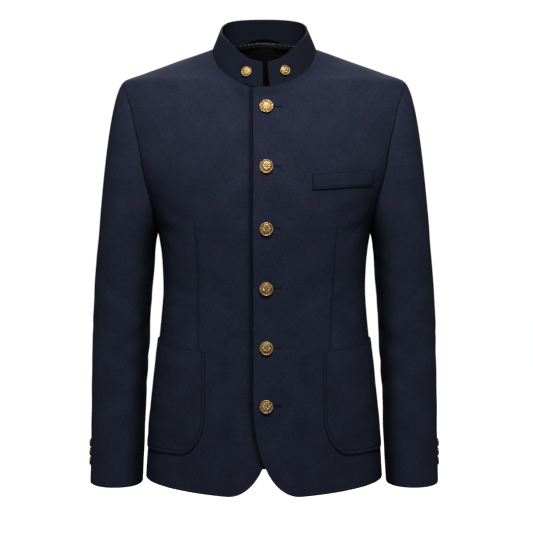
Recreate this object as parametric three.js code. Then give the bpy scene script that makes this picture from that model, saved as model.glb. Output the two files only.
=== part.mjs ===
// A stand-collar jacket of navy cloth, as it is worn: hollow, buttoned up, with its sleeves hanging.
// Millimetres. +Z is up, the front faces -Y and +X is the wearer's left. The origin lies on the
// shoulder line at the base of the neck, where the wearer's shoulders carry the jacket.

import * as THREE from "three";

// Walls of cloth
const BODY_WALL = 2.4; // shell, canvas and facing of the fronts and back, pressed together
const SLEEVE_WALL = 2.0;
const COLLAR_WALL = 3.0; // two layers of cloth over a stiffener
const PATCH_WALL = 1.6; // patch pockets and chest welt
const LINING_WALL = 1.0;
const SEAM_GAP = 0.3; // between pieces that are sewn together
const HALF_GAP = SEAM_GAP / 2;

// Torso sections from the hem up: half width at the side line, depth in front of it and behind it
const TORSO_ROUNDNESS = 2.2; // exponent of each section's curve, 2 for an ellipse
const TORSO_SECTIONS = [
  { z: -700, side: 191.5, front: 113.5, back: 121 },
  { z: -656, side: 188.8, front: 113, back: 117 },
  { z: -592, side: 183, front: 112, back: 109 },
  { z: -528, side: 175.6, front: 110.5, back: 99 },
  { z: -464, side: 168.8, front: 109, back: 91 },
  { z: -416, side: 164, front: 108.5, back: 88 },
  { z: -376, side: 161.4, front: 110, back: 91 },
  { z: -336, side: 162.8, front: 113.5, back: 99 },
  { z: -288, side: 169.5, front: 117, back: 110 },
  { z: -265, side: 178, front: 118, back: 114 },
  { z: -230, side: 194.7, front: 118, back: 119 },
  { z: -190, side: 214.7, front: 114.5, back: 121 },
  { z: -150, side: 227.6, front: 107, back: 119.5 },
  { z: -111, side: 236, front: 96.5, back: 115 },
  { z: -78, side: 234, front: 84, back: 108 },
  { z: -62, side: 229.5, front: 76, back: 104 },
  { z: -49, side: 223, front: 65.5, back: 99 },
  { z: -36, side: 190, front: 50, back: 93.5 },
  { z: -23, side: 153, front: 36.5, back: 87.5 },
  { z: -10, side: 117, front: 23, back: 81 },
  { z: 2, side: 83.5, front: 12, back: 74.5 },
  { z: 14, side: 50, front: 5, back: 68 },
];

// Neckline, seen from above, and the stand collar's top edge
const NECK = { side: 81.5, front: 73, back: 68 };
const COLLAR_TOP = { side: 69, front: 62, back: 62, backRoundness: 2.4 };
const COLLAR_TOP_EDGE = [ // its height by the place from the centre back, -1, to the centre front, 1
  { toward: -1, height: 53 },
  { toward: -0.6, height: 46.5 },
  { toward: 0, height: 32 },
  { toward: 0.5, height: 16.5 },
  { toward: 0.8, height: -1 },
  { toward: 1, height: -18.5 },
];
const COLLAR_COLUMNS = 36;
const COLLAR_GAP = 0.7; // from the neckline to the collar's lower edge
const COLLAR_END = { left: { base: 8.5, top: 4.4 }, right: { base: 1.9, top: 1.9 }, corner: 6 };

// Armhole, seen from the side, cut into the torso
const ARMHOLE = { y: 3, z: -168.5, front: 64, back: 70, half: 119.5 };

// Front edges: the lap past the centre line, and the cutaway round to the hem
const LAP = 17;
const LAP_CLEAR = 3; // past the left front's edge before the right front starts to rise
const LAP_STEP = 3; // the right front lies this much deeper where the left front covers it
const LAP_BLEND = 40; // distance over which it comes back up beside the left front's edge
const LAP_CORNER = 4;
const CUTAWAY = { reach: 58, start: -540, roundness: 2.2, corner: 0.6 };
const HEM = { side: -679, front: -695, back: -693 };
const HEM_BEND = 0.8; // exponent of the hem's fall from the sides to the centre
const SIDE_SEAM = { behind: 0.22, bendsTo: -430 }; // share of the back that the front panel wraps into

// Sleeve sections from the upper arm to the cuff: inner and outer edge, front and back
const SLEEVE_ROUNDNESS = 2.15;
const SLEEVE_SECTIONS = [
  { z: -315, inner: 174, outer: 266.8, front: -60, back: 78 },
  { z: -384, inner: 179.5, outer: 272.8, front: -53, back: 74 },
  { z: -464, inner: 184.6, outer: 276, front: -48, back: 67 },
  { z: -544, inner: 189.4, outer: 277.5, front: -48, back: 58 },
  { z: -624, inner: 192.2, outer: 278.7, front: -53, back: 51 },
  { z: -688.5, inner: 195.5, outer: 279.5, front: -58, back: 49 },
];
const ARMHOLE_GAP = 0.4; // from the panels' edge to the sleeve's, both into the hole and outwards
const SLEEVE_HEAD = { outUnder: 8, outTop: 66, bulge: 34, downUnder: 24, downTop: 60, downSide: 46 };
const SLEEVE_RADIUS = 52; // a middling one, that turns the seams' gaps into angles
const CUFF_DROP = 2; // the cuff's front edge below its back edge
const SLEEVE_SEAMS = { front: { point: 1, cuff: 10 }, back: { point: 14, cuff: 208 } };
const SEAM_SETTLES = 1.6; // how far down the long seams reach their line at the cuff

// Rows and columns of the walls' grids
const PANEL_ROWS = { seam: 8, armhole: 10, shoulder: 3 };
const PANEL_COLUMNS = { front: 9, lap: 4, back: 9 };
const CUTAWAY_ROWS = 6;
const SLEEVE_ROWS = { head: 8, arm: 9, crowding: 1.25 }; // the head's rows crowd towards the armhole

// Pockets
const PATCH_LIFT = 0.9; // from the front's surface to the back of what is sewn on it
const PATCH = { front: 93, width: 164, top: -469, bottom: -631.5, rise: 14 };
const PATCH_CORNER = { wide: 44, tall: 66 };
const WELT = { front: 74, width: 102, bottom: -217, height: 25, rise: 6 };

// Soft folds pressed into the cloth: place across, upper and lower end, half width and depth
const BACK_FOLDS = [
  { across: 118, top: -150, low: -330, half: 26, deep: 2.6 },
  { across: 64, top: -330, low: -520, half: 30, deep: 1.8 },
];
const SLEEVE_FOLDS = [
  { angle: 62, slope: 26, z: -420, half: 9, reach: 46, deep: 2.4 },
  { angle: 50, slope: -22, z: -462, half: 11, reach: 52, deep: 3 },
  { angle: 66, slope: 18, z: -505, half: 10, reach: 40, deep: 2 },
];

// Buttons
const FRONT_BUTTONS = { heights: [-89.2, -180.7, -276.2, -369.2, -461.6, -552.4], across: 3.2 };
const BIG_BUTTON = { radius: 10.8, shank: 2.6, stand: 1.7, edge: 1.3, rim: 2.6, dome: 3.4, sides: 16 };
const MID_BUTTON = { radius: 8.4, shank: 2.2, stand: 1.4, edge: 1.1, rim: 2.1, dome: 2.8, sides: 14 };
const SMALL_BUTTON = { radius: 7, shank: 2, stand: 1.3, edge: 1, rim: 1.9, dome: 2.5, sides: 12 };
const COLLAR_BUTTON = { fromEnd: 25, share: 0.47 };
const CUFF_BUTTONS = { heights: [-629, -643.8, -658.6], angle: 191 };

// Hanging loop and lining inside the back neck
const LOOP = { half: 26, tall: 4.5, thick: 1.2, arch: 3, lift: 2.6 };
const LINING_DEPTH = 0.8; // from the back's inner face to the lining
const LINING_TOP = 3; // from the neck seam down to the lining's top edge

const CLOTH_NAVY = new THREE.Color("#23273a");
const materials = {
  cloth: new THREE.MeshStandardMaterial({ color: CLOTH_NAVY, roughness: 0.9, metalness: 0 }),
  lining: new THREE.MeshStandardMaterial({ color: "#0c0c0e", roughness: 0.45, metalness: 0 }),
  brass: new THREE.MeshStandardMaterial({ color: "#d9a95b", roughness: 0.28, metalness: 1 }),
};

const jacket = new THREE.Group();
const { clamp, lerp, degToRad, smoothstep } = THREE.MathUtils;

// Curves through tables

// Value of one column at a place in another: a smooth curve through the rows that never overshoots.
function column(rows, key, at, by = "z") {
  const sorted = rows[0][by] < rows[rows.length - 1][by] ? rows : [...rows].reverse();
  const last = sorted.length - 1;
  const slope = (i) => (sorted[i + 1][key] - sorted[i][key]) / (sorted[i + 1][by] - sorted[i][by]);
  const tangent = (i) => {
    if (i === 0) return slope(0);
    if (i === last) return slope(last - 1);
    const [a, b] = [slope(i - 1), slope(i)];
    return a * b <= 0 ? 0 : (2 * a * b) / (a + b);
  };
  let i = 0;
  while (i < last - 1 && at > sorted[i + 1][by]) i++;
  const span = sorted[i + 1][by] - sorted[i][by];
  const t = (at - sorted[i][by]) / span;
  if (t < 0) return sorted[0][key] + tangent(0) * (at - sorted[0][by]);
  if (t > 1) return sorted[last][key] + tangent(last) * (at - sorted[last][by]);
  return (
    sorted[i][key] * (2 * t ** 3 - 3 * t ** 2 + 1) +
    tangent(i) * span * (t ** 3 - 2 * t ** 2 + t) +
    sorted[i + 1][key] * (3 * t ** 2 - 2 * t ** 3) +
    tangent(i + 1) * span * (t ** 3 - t ** 2)
  );
}

const sized = (value, exponent) => Math.sign(value) * Math.abs(value) ** (2 / exponent);

// The torso's surface

const SAMPLES = 60;
const quarters = new Map();

// One quarter of a section, from the side line to the centre line, with its length as it goes.
function quarter(z, face) {
  const key = `${z.toFixed(4)} ${face}`;
  if (quarters.has(key)) return quarters.get(key);
  const side = column(TORSO_SECTIONS, "side", z);
  const depth = column(TORSO_SECTIONS, face, z);
  const made = { side, depth, lengths: [0] };
  let [lastX, lastY] = [side, 0];
  for (let i = 1; i <= SAMPLES; i++) {
    const angle = (i / SAMPLES) * (Math.PI / 2);
    const x = side * sized(Math.cos(angle), TORSO_ROUNDNESS);
    const y = depth * sized(Math.sin(angle), TORSO_ROUNDNESS);
    made.lengths.push(made.lengths[i - 1] + Math.hypot(x - lastX, y - lastY));
    [lastX, lastY] = [x, y];
  }
  made.length = made.lengths[SAMPLES];
  quarters.set(key, made);
  return made;
}

// A point on the left half of the torso. round is 0 at the side line, 1 at the centre front and -1 at
// the centre back; past 1 or -1 it runs on over the centre line.
function torsoPoint(round, z) {
  const over = Math.abs(round) > 1;
  const share = over ? 2 - Math.abs(round) : Math.abs(round);
  const q = quarter(z, round >= 0 ? "front" : "back");
  const along = share * q.length;
  let i = 0;
  while (i < SAMPLES - 1 && q.lengths[i + 1] < along) i++;
  const part = (along - q.lengths[i]) / (q.lengths[i + 1] - q.lengths[i]);
  const angle = ((i + part) / SAMPLES) * (Math.PI / 2);
  const x = q.side * sized(Math.cos(angle), TORSO_ROUNDNESS);
  const y = q.depth * sized(Math.sin(angle), TORSO_ROUNDNESS);
  return new THREE.Vector3(over ? -x : x, round >= 0 ? -y : y, z);
}

function torsoNormal(round, z) {
  const step = 0.004;
  const up = torsoPoint(round, z + 0.8).sub(torsoPoint(round, z - 0.8));
  const along = torsoPoint(round + step, z).sub(torsoPoint(round - step, z));
  return up.cross(along).normalize();
}

// round at a distance from the centre front or the centre back, along the section
function roundAt(distance, z, face) {
  const near = quarter(z, face).length;
  const far = quarter(z, face === "front" ? "back" : "front").length;
  const value = distance <= near ? 1 - distance / near : -(distance - near) / far;
  return face === "front" ? value : -value;
}

function distanceAt(round, z, face) {
  const toward = face === "front" ? round : -round;
  const [near, far] = face === "front" ? ["front", "back"] : ["back", "front"];
  if (toward >= 0) return (1 - toward) * quarter(z, near).length;
  return quarter(z, near).length - toward * quarter(z, far).length;
}

// round of the point on the section at z that lies y before or behind the side line
function roundOfDepth(y, z) {
  const q = quarter(z, y <= 0 ? "front" : "back");
  const share = clamp(Math.abs(y) / q.depth, 0, 1) ** (TORSO_ROUNDNESS / 2);
  const at = (Math.asin(share) / (Math.PI / 2)) * SAMPLES;
  const i = Math.min(Math.floor(at), SAMPLES - 1);
  const along = lerp(q.lengths[i], q.lengths[i + 1], at - i);
  return (y <= 0 ? 1 : -1) * (along / q.length);
}

// Outlines of the pieces, as { round, z }

// The neckline at an angle seen from above: 0 at the side, 90 degrees at the centre.
function neckline(angle, face) {
  const x = NECK.side * Math.cos(angle);
  const y = NECK[face] * Math.sin(angle);
  let [low, high] = [-120, 30];
  for (let i = 0; i < 40; i++) {
    const z = (low + high) / 2;
    const side = column(TORSO_SECTIONS, "side", z);
    const depth = column(TORSO_SECTIONS, face, z);
    const outside = (x / side) ** TORSO_ROUNDNESS + (y / depth) ** TORSO_ROUNDNESS > 1;
    if (outside) high = z;
    else low = z;
  }
  return { round: roundOfDepth(face === "front" ? -y : y, low), z: low };
}

// The armhole at an angle seen from the side: 0 at the underarm, 90 degrees at the front, 180 on top.
function armhole(angle, inset = 0) {
  const half = (Math.sin(angle) > 0 ? ARMHOLE.front : ARMHOLE.back) - inset;
  const y = ARMHOLE.y - half * Math.sin(angle);
  const z = ARMHOLE.z - (ARMHOLE.half - inset) * Math.cos(angle);
  return { round: roundOfDepth(y, z), z };
}

const SHOULDER_ANGLE = Math.PI - Math.asin(ARMHOLE.y / ARMHOLE.front);
const SHOULDER = armhole(SHOULDER_ANGLE);
const UNDERARM = armhole(0);
const NECK_CORNER = neckline(0, "front");

function sideSeam(z) {
  const share = smoothstep(UNDERARM.z - z, 0, UNDERARM.z - SIDE_SEAM.bendsTo);
  return lerp(UNDERARM.round, -SIDE_SEAM.behind, share);
}

function hemHeight(round) {
  return lerp(HEM.side, round >= 0 ? HEM.front : HEM.back, Math.abs(round) ** HEM_BEND);
}

// The front edge from the lap's top corner down and round to the hem: angle is 0 where the cutaway
// starts and 90 degrees where it meets the hem.
function cutaway(angle) {
  const wide = CUTAWAY.reach + LAP;
  const tall = CUTAWAY.start - HEM.front;
  const z = CUTAWAY.start - tall * sized(Math.sin(angle), CUTAWAY.roundness);
  return { distance: CUTAWAY.reach - wide * sized(Math.cos(angle), CUTAWAY.roundness), z };
}

const onFront = ({ distance, z }) => ({ round: roundAt(distance, z, "front"), z });

// A path through points, asked for by its share of length from 0 to 1
function pathOf(points) {
  const place = (p) => torsoPoint(p.round, p.z);
  const lengths = [0];
  for (let i = 1; i < points.length; i++) {
    lengths.push(lengths[i - 1] + place(points[i]).distanceTo(place(points[i - 1])));
  }
  const total = lengths[lengths.length - 1];
  return (share) => {
    const along = clamp(share, 0, 1) * total;
    let i = 0;
    while (i < lengths.length - 2 && lengths[i + 1] < along) i++;
    const part = (along - lengths[i]) / (lengths[i + 1] - lengths[i]);
    const [a, b] = [points[i], points[i + 1]];
    return { round: lerp(a.round, b.round, part), z: lerp(a.z, b.z, part) };
  };
}

// Two paths end to end, each cut into its own number of equal lengths
function inParts([first, firstCount], [second, secondCount]) {
  const [a, b] = [pathOf(first), pathOf(second)];
  return [...steps(firstCount).map((t) => a(t)), ...steps(secondCount).slice(1).map((t) => b(t))];
}

const steps = (count) => Array.from({ length: count + 1 }, (_, i) => i / count);
const OUTLINE_POINTS = 40; // that an outline is worked out through

// Angles of the armhole's points, once round: up the front to the shoulder, then down the back.
const ARMHOLE_ANGLES = [
  ...steps(PANEL_ROWS.armhole).map((t) => SHOULDER_ANGLE * t),
  ...steps(PANEL_ROWS.armhole).slice(1).map((t) => lerp(SHOULDER_ANGLE, 2 * Math.PI, t)),
];

// The outer edge of a panel, from the hem up: side seam, armhole and shoulder seam.
function outerEdge(face) {
  const inward = face === "front" ? HALF_GAP : -HALF_GAP;
  const nudge = (p) => ({
    round: p.round + inward / quarter(p.z, face).length,
    z: p.z,
  });
  const hemZ = hemHeight(sideSeam(HEM.side));
  const seam = pathOf(steps(OUTLINE_POINTS).map((t) => {
    const z = lerp(hemZ, UNDERARM.z, t);
    return nudge({ round: sideSeam(z), z });
  }));
  const last = PANEL_ROWS.armhole;
  const angles = face === "front" ? ARMHOLE_ANGLES : [...ARMHOLE_ANGLES].reverse();
  const hole = angles.slice(0, last + 1).map((angle, k) => {
    return k === 0 || k === last ? nudge(armhole(angle)) : armhole(angle);
  });
  const shoulder = pathOf(steps(OUTLINE_POINTS).map((t) => {
    const z = lerp(SHOULDER.z, NECK_CORNER.z, t);
    return nudge({ round: 0, z });
  }));
  const below = steps(PANEL_ROWS.seam).map((t) => seam(t));
  const above = steps(PANEL_ROWS.shoulder).map((t) => shoulder(t));
  return [...below, ...hole.slice(1), ...above.slice(1)];
}

// A grid between four edges, blended from them
function gridBetween(left, right, bottom, top) {
  const [rows, columns] = [left.length - 1, bottom.length - 1];
  return left.map((_, i) => bottom.map((__, j) => {
    const [v, s] = [i / rows, j / columns];
    const blend = (key) =>
      (1 - s) * left[i][key] + s * right[i][key] + (1 - v) * bottom[j][key] + v * top[j][key] -
      (1 - s) * (1 - v) * left[0][key] - s * (1 - v) * right[0][key] -
      (1 - s) * v * left[rows][key] - s * v * right[rows][key];
    return { round: blend("round"), z: blend("z") };
  }));
}

// Solids

// A closed wall between two grids of points
function wall(outside, inside) {
  const [rows, columns] = [outside.length, outside[0].length];
  const points = [...outside.flat(), ...inside.flat()];
  const outer = (i, j) => i * columns + j;
  const inner = (i, j) => rows * columns + outer(i, j);
  const end = columns - 1;
  const faces = [];
  const quad = (a, b, c, d) => faces.push(a, b, c, a, c, d);
  for (let i = 0; i < rows - 1; i++) {
    for (let j = 0; j < columns - 1; j++) {
      quad(outer(i, j), outer(i, j + 1), outer(i + 1, j + 1), outer(i + 1, j));
      quad(inner(i, j), inner(i + 1, j), inner(i + 1, j + 1), inner(i, j + 1));
    }
  }
  for (let j = 0; j < columns - 1; j++) {
    quad(outer(0, j), inner(0, j), inner(0, j + 1), outer(0, j + 1));
    quad(outer(rows - 1, j), outer(rows - 1, j + 1), inner(rows - 1, j + 1), inner(rows - 1, j));
  }
  for (let i = 0; i < rows - 1; i++) {
    quad(outer(i, 0), outer(i + 1, 0), inner(i + 1, 0), inner(i, 0));
    const [low, high] = [i, i + 1];
    quad(outer(low, end), inner(low, end), inner(high, end), outer(high, end));
  }
  let volume = 0;
  for (let k = 0; k < faces.length; k += 3) {
    const [a, b, c] = [points[faces[k]], points[faces[k + 1]], points[faces[k + 2]]];
    volume += a.dot(b.clone().cross(c));
  }
  if (volume < 0) faces.reverse();
  const geometry = new THREE.BufferGeometry().setFromPoints(points);
  geometry.setIndex(faces);
  geometry.computeVertexNormals();
  return geometry;
}

const mirrored = (points) => points.map((row) => row.map((p) => p.clone().setX(-p.x)));

function add(name, geometry, material) {
  const mesh = new THREE.Mesh(geometry, material);
  mesh.name = name;
  jacket.add(mesh);
  return mesh;
}

// Adds a wall on the wearer's left or right from two grids made for the left.
function addWall(name, side, outside, inside, material) {
  const [a, b] = side === "left" ? [outside, inside] : [mirrored(outside), mirrored(inside)];
  return add(name, wall(a, b), material);
}

// Fronts

// How far the right front lies under the torso's surface, to pass beneath the left one
function lapDepth(side, distance) {
  const clear = LAP + LAP_CLEAR;
  return side === "left" ? 0 : LAP_STEP * (1 - smoothstep(distance, clear, clear + LAP_BLEND));
}

// A point on a front, a little way out from its face
function frontPoint(side, round, z, out = 0) {
  const depth = lapDepth(side, distanceAt(round, z, "front"));
  return torsoPoint(round, z).addScaledVector(torsoNormal(round, z), out - depth);
}

function frontGrid() {
  const left = outerEdge("front");
  const total = left.length - 1;
  const topZ = neckline(Math.PI / 2, "front").z;
  const turn = Math.PI / 2 * CUTAWAY.corner;
  const round = steps(OUTLINE_POINTS).map((t) => onFront(cutaway(turn * (1 - t))));
  const lapTop = topZ - LAP_CORNER;
  const straight = steps(OUTLINE_POINTS).map((t) => {
    return onFront({ distance: -LAP, z: lerp(CUTAWAY.start, lapTop, t) });
  });
  const corner = steps(4).map((t) => {
    const angle = (Math.PI / 4) * t;
    const distance = -LAP + LAP_CORNER * (1 - Math.cos(angle));
    return onFront({ distance, z: lapTop + LAP_CORNER * Math.sin(angle) });
  });
  const edgePath = [...straight, ...corner.slice(1)];
  const right = inParts([round, CUTAWAY_ROWS], [edgePath, total - CUTAWAY_ROWS]);
  const seamFoot = left[0];
  const hem = steps(OUTLINE_POINTS).map((t) => {
    const roundThere = lerp(seamFoot.round, roundAt(CUTAWAY.reach, HEM.front, "front"), t);
    return { round: roundThere, z: hemHeight(roundThere) };
  });
  const hemRound = steps(OUTLINE_POINTS).map((t) => {
    return onFront(cutaway(lerp(Math.PI / 2, turn, t)));
  });
  const bottom = inParts([hem, PANEL_COLUMNS.front], [hemRound, PANEL_COLUMNS.lap]);
  const neck = steps(OUTLINE_POINTS).map((t) => neckline((Math.PI / 2) * t, "front"));
  neck[0] = left[total];
  const lapEdge = steps(6).map((t) => {
    return onFront({ distance: -(LAP - LAP_CORNER) * t, z: topZ });
  });
  const lapCorner = steps(4).map((t) => {
    const angle = (Math.PI / 4) * t;
    const distance = -LAP + LAP_CORNER - LAP_CORNER * Math.sin(angle);
    return onFront({ distance, z: lapTop + LAP_CORNER * Math.cos(angle) });
  });
  const lapPath = [...lapEdge, ...lapCorner.slice(1)];
  const top = inParts([neck, PANEL_COLUMNS.front], [lapPath, PANEL_COLUMNS.lap]);
  return gridBetween(left, right, bottom, top);
}

function makeFront(side) {
  const grid = frontGrid();
  const surface = (out) => grid.map((row) => row.map((p) => frontPoint(side, p.round, p.z, out)));
  addWall(`front_${side}`, side, surface(0), surface(-BODY_WALL), materials.cloth);
}

// Backs

function backFold(round, z) {
  const across = distanceAt(round, z, "back");
  return BACK_FOLDS.reduce((sum, fold) => {
    const ends = Math.sin(Math.PI * clamp((z - fold.low) / (fold.top - fold.low), 0, 1));
    const away = (across - fold.across) / fold.half;
    return sum - fold.deep * ends * Math.exp(-away * away);
  }, 0);
}

function backPoint(round, z, out = 0) {
  return torsoPoint(round, z).addScaledVector(torsoNormal(round, z), backFold(round, z) + out);
}

function backGrid(columns) {
  const left = outerEdge("back");
  const total = left.length - 1;
  const centre = (z) => ({ round: roundAt(HALF_GAP, z, "back"), z });
  const topZ = neckline(Math.PI / 2, "back").z;
  const right = steps(total).map((t) => centre(lerp(HEM.back, topZ, t)));
  const bottom = steps(columns).map((t) => {
    const round = lerp(left[0].round, right[0].round, t);
    return { round, z: hemHeight(round) };
  });
  bottom[columns] = right[0];
  const neck = steps(OUTLINE_POINTS).map((t) => neckline((Math.PI / 2) * t, "back"));
  neck[0] = left[total];
  neck[OUTLINE_POINTS] = right[total];
  const over = pathOf(neck);
  const top = steps(columns).map((t) => over(t));
  return gridBetween(left, right, bottom, top);
}

function makeBack(side) {
  const grid = backGrid(PANEL_COLUMNS.back);
  const surface = (out) => grid.map((row) => row.map((p) => backPoint(p.round, p.z, out)));
  addWall(`back_${side}`, side, surface(0), surface(-BODY_WALL), materials.cloth);
}

// The lining hangs inside each half of the back, short of the hem and of the side seam.
function makeLining(side) {
  const grid = backGrid(PANEL_COLUMNS.back).slice(1).map((row) => row.slice(1));
  const top = grid[grid.length - 1];
  grid[grid.length - 1] = top.map((p) => ({ round: p.round, z: p.z - LINING_TOP }));
  const surface = (out) => grid.map((row) => row.map((p) => backPoint(p.round, p.z, out)));
  const depth = BODY_WALL + LINING_DEPTH;
  addWall(`lining_${side}`, side, surface(-depth), surface(-depth - LINING_WALL), materials.lining);
}

// Sleeves

function sleeveFold(angle, z) {
  return SLEEVE_FOLDS.reduce((sum, fold) => {
    const round = ((angle * 180) / Math.PI - fold.angle) / fold.reach;
    const across = (z - fold.z - fold.slope * round) / fold.half;
    return sum - fold.deep * Math.exp(-round * round - across * across);
  }, 0);
}

// A point on the left sleeve below its head. angle is 0 at the inner side, 90 degrees at the front.
function sleeveSection(angle, z) {
  const [inner, outer] = ["inner", "outer"].map((key) => column(SLEEVE_SECTIONS, key, z));
  const [front, back] = ["front", "back"].map((key) => column(SLEEVE_SECTIONS, key, z));
  const [c, s] = [sized(Math.cos(angle), SLEEVE_ROUNDNESS), sized(Math.sin(angle), SLEEVE_ROUNDNESS)];
  const x = (inner + outer) / 2 - ((outer - inner) / 2) * c;
  const y = (front + back) / 2 - ((back - front) / 2) * s;
  const top = SLEEVE_SECTIONS[0].z;
  const cuff = SLEEVE_SECTIONS[SLEEVE_SECTIONS.length - 1].z;
  return new THREE.Vector3(x, y, z - CUFF_DROP * s * ((top - z) / (top - cuff)));
}

// Where the sleeve starts, just clear of the armhole's edge
function sleeveStart(angle) {
  const edge = armhole(angle);
  const inner = armhole(angle, 1);
  const at = torsoPoint(edge.round, edge.z);
  const into = torsoPoint(inner.round, inner.z).sub(at).normalize();
  const normal = torsoNormal(edge.round, edge.z);
  return at.addScaledVector(into, ARMHOLE_GAP).addScaledVector(normal, ARMHOLE_GAP);
}

// Sleeve surface: down is 0 to 1 over the head, from the armhole to the first section, and 1 to 2 below.
function sleeveSurface(angle, down) {
  const top = SLEEVE_SECTIONS[0].z;
  const cuff = SLEEVE_SECTIONS[SLEEVE_SECTIONS.length - 1].z;
  if (down >= 1) return sleeveSection(angle, lerp(top, cuff, down - 1));
  const start = sleeveStart(angle);
  const end = sleeveSection(angle, top);
  const lift = (1 - Math.cos(angle)) / 2;
  const sideways = Math.sin(angle);
  const leave = new THREE.Vector3(
    lerp(SLEEVE_HEAD.outUnder, SLEEVE_HEAD.outTop, lift),
    -SLEEVE_HEAD.bulge * sideways,
    -lerp(SLEEVE_HEAD.downUnder, SLEEVE_HEAD.downTop, lift) - SLEEVE_HEAD.downSide * sideways ** 2,
  );
  const arrive = sleeveSection(angle, top - 4).sub(end).multiplyScalar((start.z - end.z) / 4);
  const t = down;
  return start.multiplyScalar(2 * t ** 3 - 3 * t ** 2 + 1)
    .addScaledVector(leave, t ** 3 - 2 * t ** 2 + t)
    .addScaledVector(end, 3 * t ** 2 - 2 * t ** 3)
    .addScaledVector(arrive, t ** 3 - t ** 2);
}

function sleevePoint(angle, down, out = 0) {
  const clear = clamp(down, 0.01, 1.99);
  const [turn, slide] = [0.02, 0.008];
  const round = sleeveSurface(angle + turn, clear).sub(sleeveSurface(angle - turn, clear));
  const along = sleeveSurface(angle, clear + slide).sub(sleeveSurface(angle, clear - slide));
  const normal = along.cross(round).normalize();
  const point = sleeveSurface(angle, down);
  const fold = sleeveFold(angle, point.z) * smoothstep(down, 0.6, 1.1);
  return point.addScaledVector(normal, fold + out);
}

// Angles of one half's columns, at the armhole and at the cuff. A half runs from one long seam to the
// other, and the points at the armhole are the panels' own.
function sleeveColumns(from, to) {
  const count = ARMHOLE_ANGLES.length - 1;
  const columns = ((to.point - from.point + count) % count);
  const turn = to.cuff < from.cuff ? 360 : 0;
  return steps(columns).map((t, k) => {
    const point = from.point + k;
    const lap = point > count ? 2 * Math.PI : 0;
    return {
      armhole: ARMHOLE_ANGLES[point > count ? point - count : point] + lap,
      cuff: degToRad(lerp(from.cuff, to.cuff + turn, t)),
    };
  });
}

function makeSleeve(side) {
  const downs = [
    ...steps(SLEEVE_ROWS.head).map((t) => t ** SLEEVE_ROWS.crowding),
    ...steps(SLEEVE_ROWS.arm).slice(1).map((t) => 1 + t),
  ];
  const margin = HALF_GAP / SLEEVE_RADIUS;
  const { front, back } = SLEEVE_SEAMS;
  for (const [name, columns] of [
    ["upper", sleeveColumns(front, back)],
    ["under", sleeveColumns(back, front)],
  ]) {
    const last = columns.length - 1;
    const nudge = (k) => (k === 0 ? margin : 0) - (k === last ? margin : 0);
    const surface = (out) => downs.map((down) => columns.map((column, k) => {
      const angle = lerp(column.armhole, column.cuff, smoothstep(down, 0, SEAM_SETTLES));
      return sleevePoint(angle + nudge(k), down, out);
    }));
    addWall(`sleeve_${name}_${side}`, side, surface(0), surface(-SLEEVE_WALL), materials.cloth);
  }
}

// Collar

// The collar's outer face at an angle seen from above (0 at the wearer's left, 90 degrees at the
// front, -90 at the back) and a share of its height.
function collarSurface(angle, share) {
  const sideways = Math.abs(Math.cos(angle));
  const front = Math.sin(angle) > 0;
  const face = front ? "front" : "back";
  const quarterAngle = Math.asin(Math.min(1, Math.abs(Math.sin(angle))));
  const edge = neckline(quarterAngle, face);
  const base = torsoPoint(edge.round, edge.z);
  const centre = new THREE.Vector3(0, 0, base.z + 14);
  base.addScaledVector(centre.sub(base).normalize(), COLLAR_GAP);
  const roundness = front ? 2 : COLLAR_TOP.backRoundness;
  const turn = sized(Math.sin(quarterAngle), roundness);
  const top = new THREE.Vector3(
    COLLAR_TOP.side * sized(sideways, roundness),
    (front ? -COLLAR_TOP.front : COLLAR_TOP.back) * turn,
    column(COLLAR_TOP_EDGE, "height", front ? turn : -turn, "toward"),
  );
  const point = base.lerp(top, share);
  if (Math.cos(angle) < 0) point.x = -point.x;
  return point;
}

function collarPoint(angle, share, out = 0) {
  const clear = clamp(share, 0.02, 0.98);
  const round = collarSurface(angle + 0.02, clear).sub(collarSurface(angle - 0.02, clear));
  const up = collarSurface(angle, clear + 0.02).sub(collarSurface(angle, clear - 0.02));
  const normal = up.cross(round).normalize();
  return collarSurface(angle, share).addScaledVector(normal, out);
}

// The angle at which a collar end stands, for a share of the height, with its top corner rounded
function collarEnd(side, share) {
  const height = 40;
  const end = COLLAR_END[side];
  const rise = Math.max(0, share * height - (height - COLLAR_END.corner));
  const corner = COLLAR_END.corner - Math.sqrt(COLLAR_END.corner ** 2 - rise ** 2);
  const away = lerp(end.base, end.top, share) + corner;
  const radius = lerp(NECK.side, COLLAR_TOP.side, share);
  const short = Math.asin(away / radius);
  return side === "left" ? Math.PI / 2 - short : Math.PI / 2 + short;
}

function makeCollar() {
  const shares = [0, 0.3, 0.6, 0.86, 0.95, 1];
  const columns = steps(COLLAR_COLUMNS);
  const surface = (out) => shares.map((share) => {
    const start = collarEnd("left", share);
    const stop = collarEnd("right", share) - 2 * Math.PI;
    return columns.map((t) => collarPoint(lerp(start, stop, t), share, out));
  });
  add("collar", wall(surface(0), surface(-COLLAR_WALL)), materials.cloth);
}

// Pockets

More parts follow.
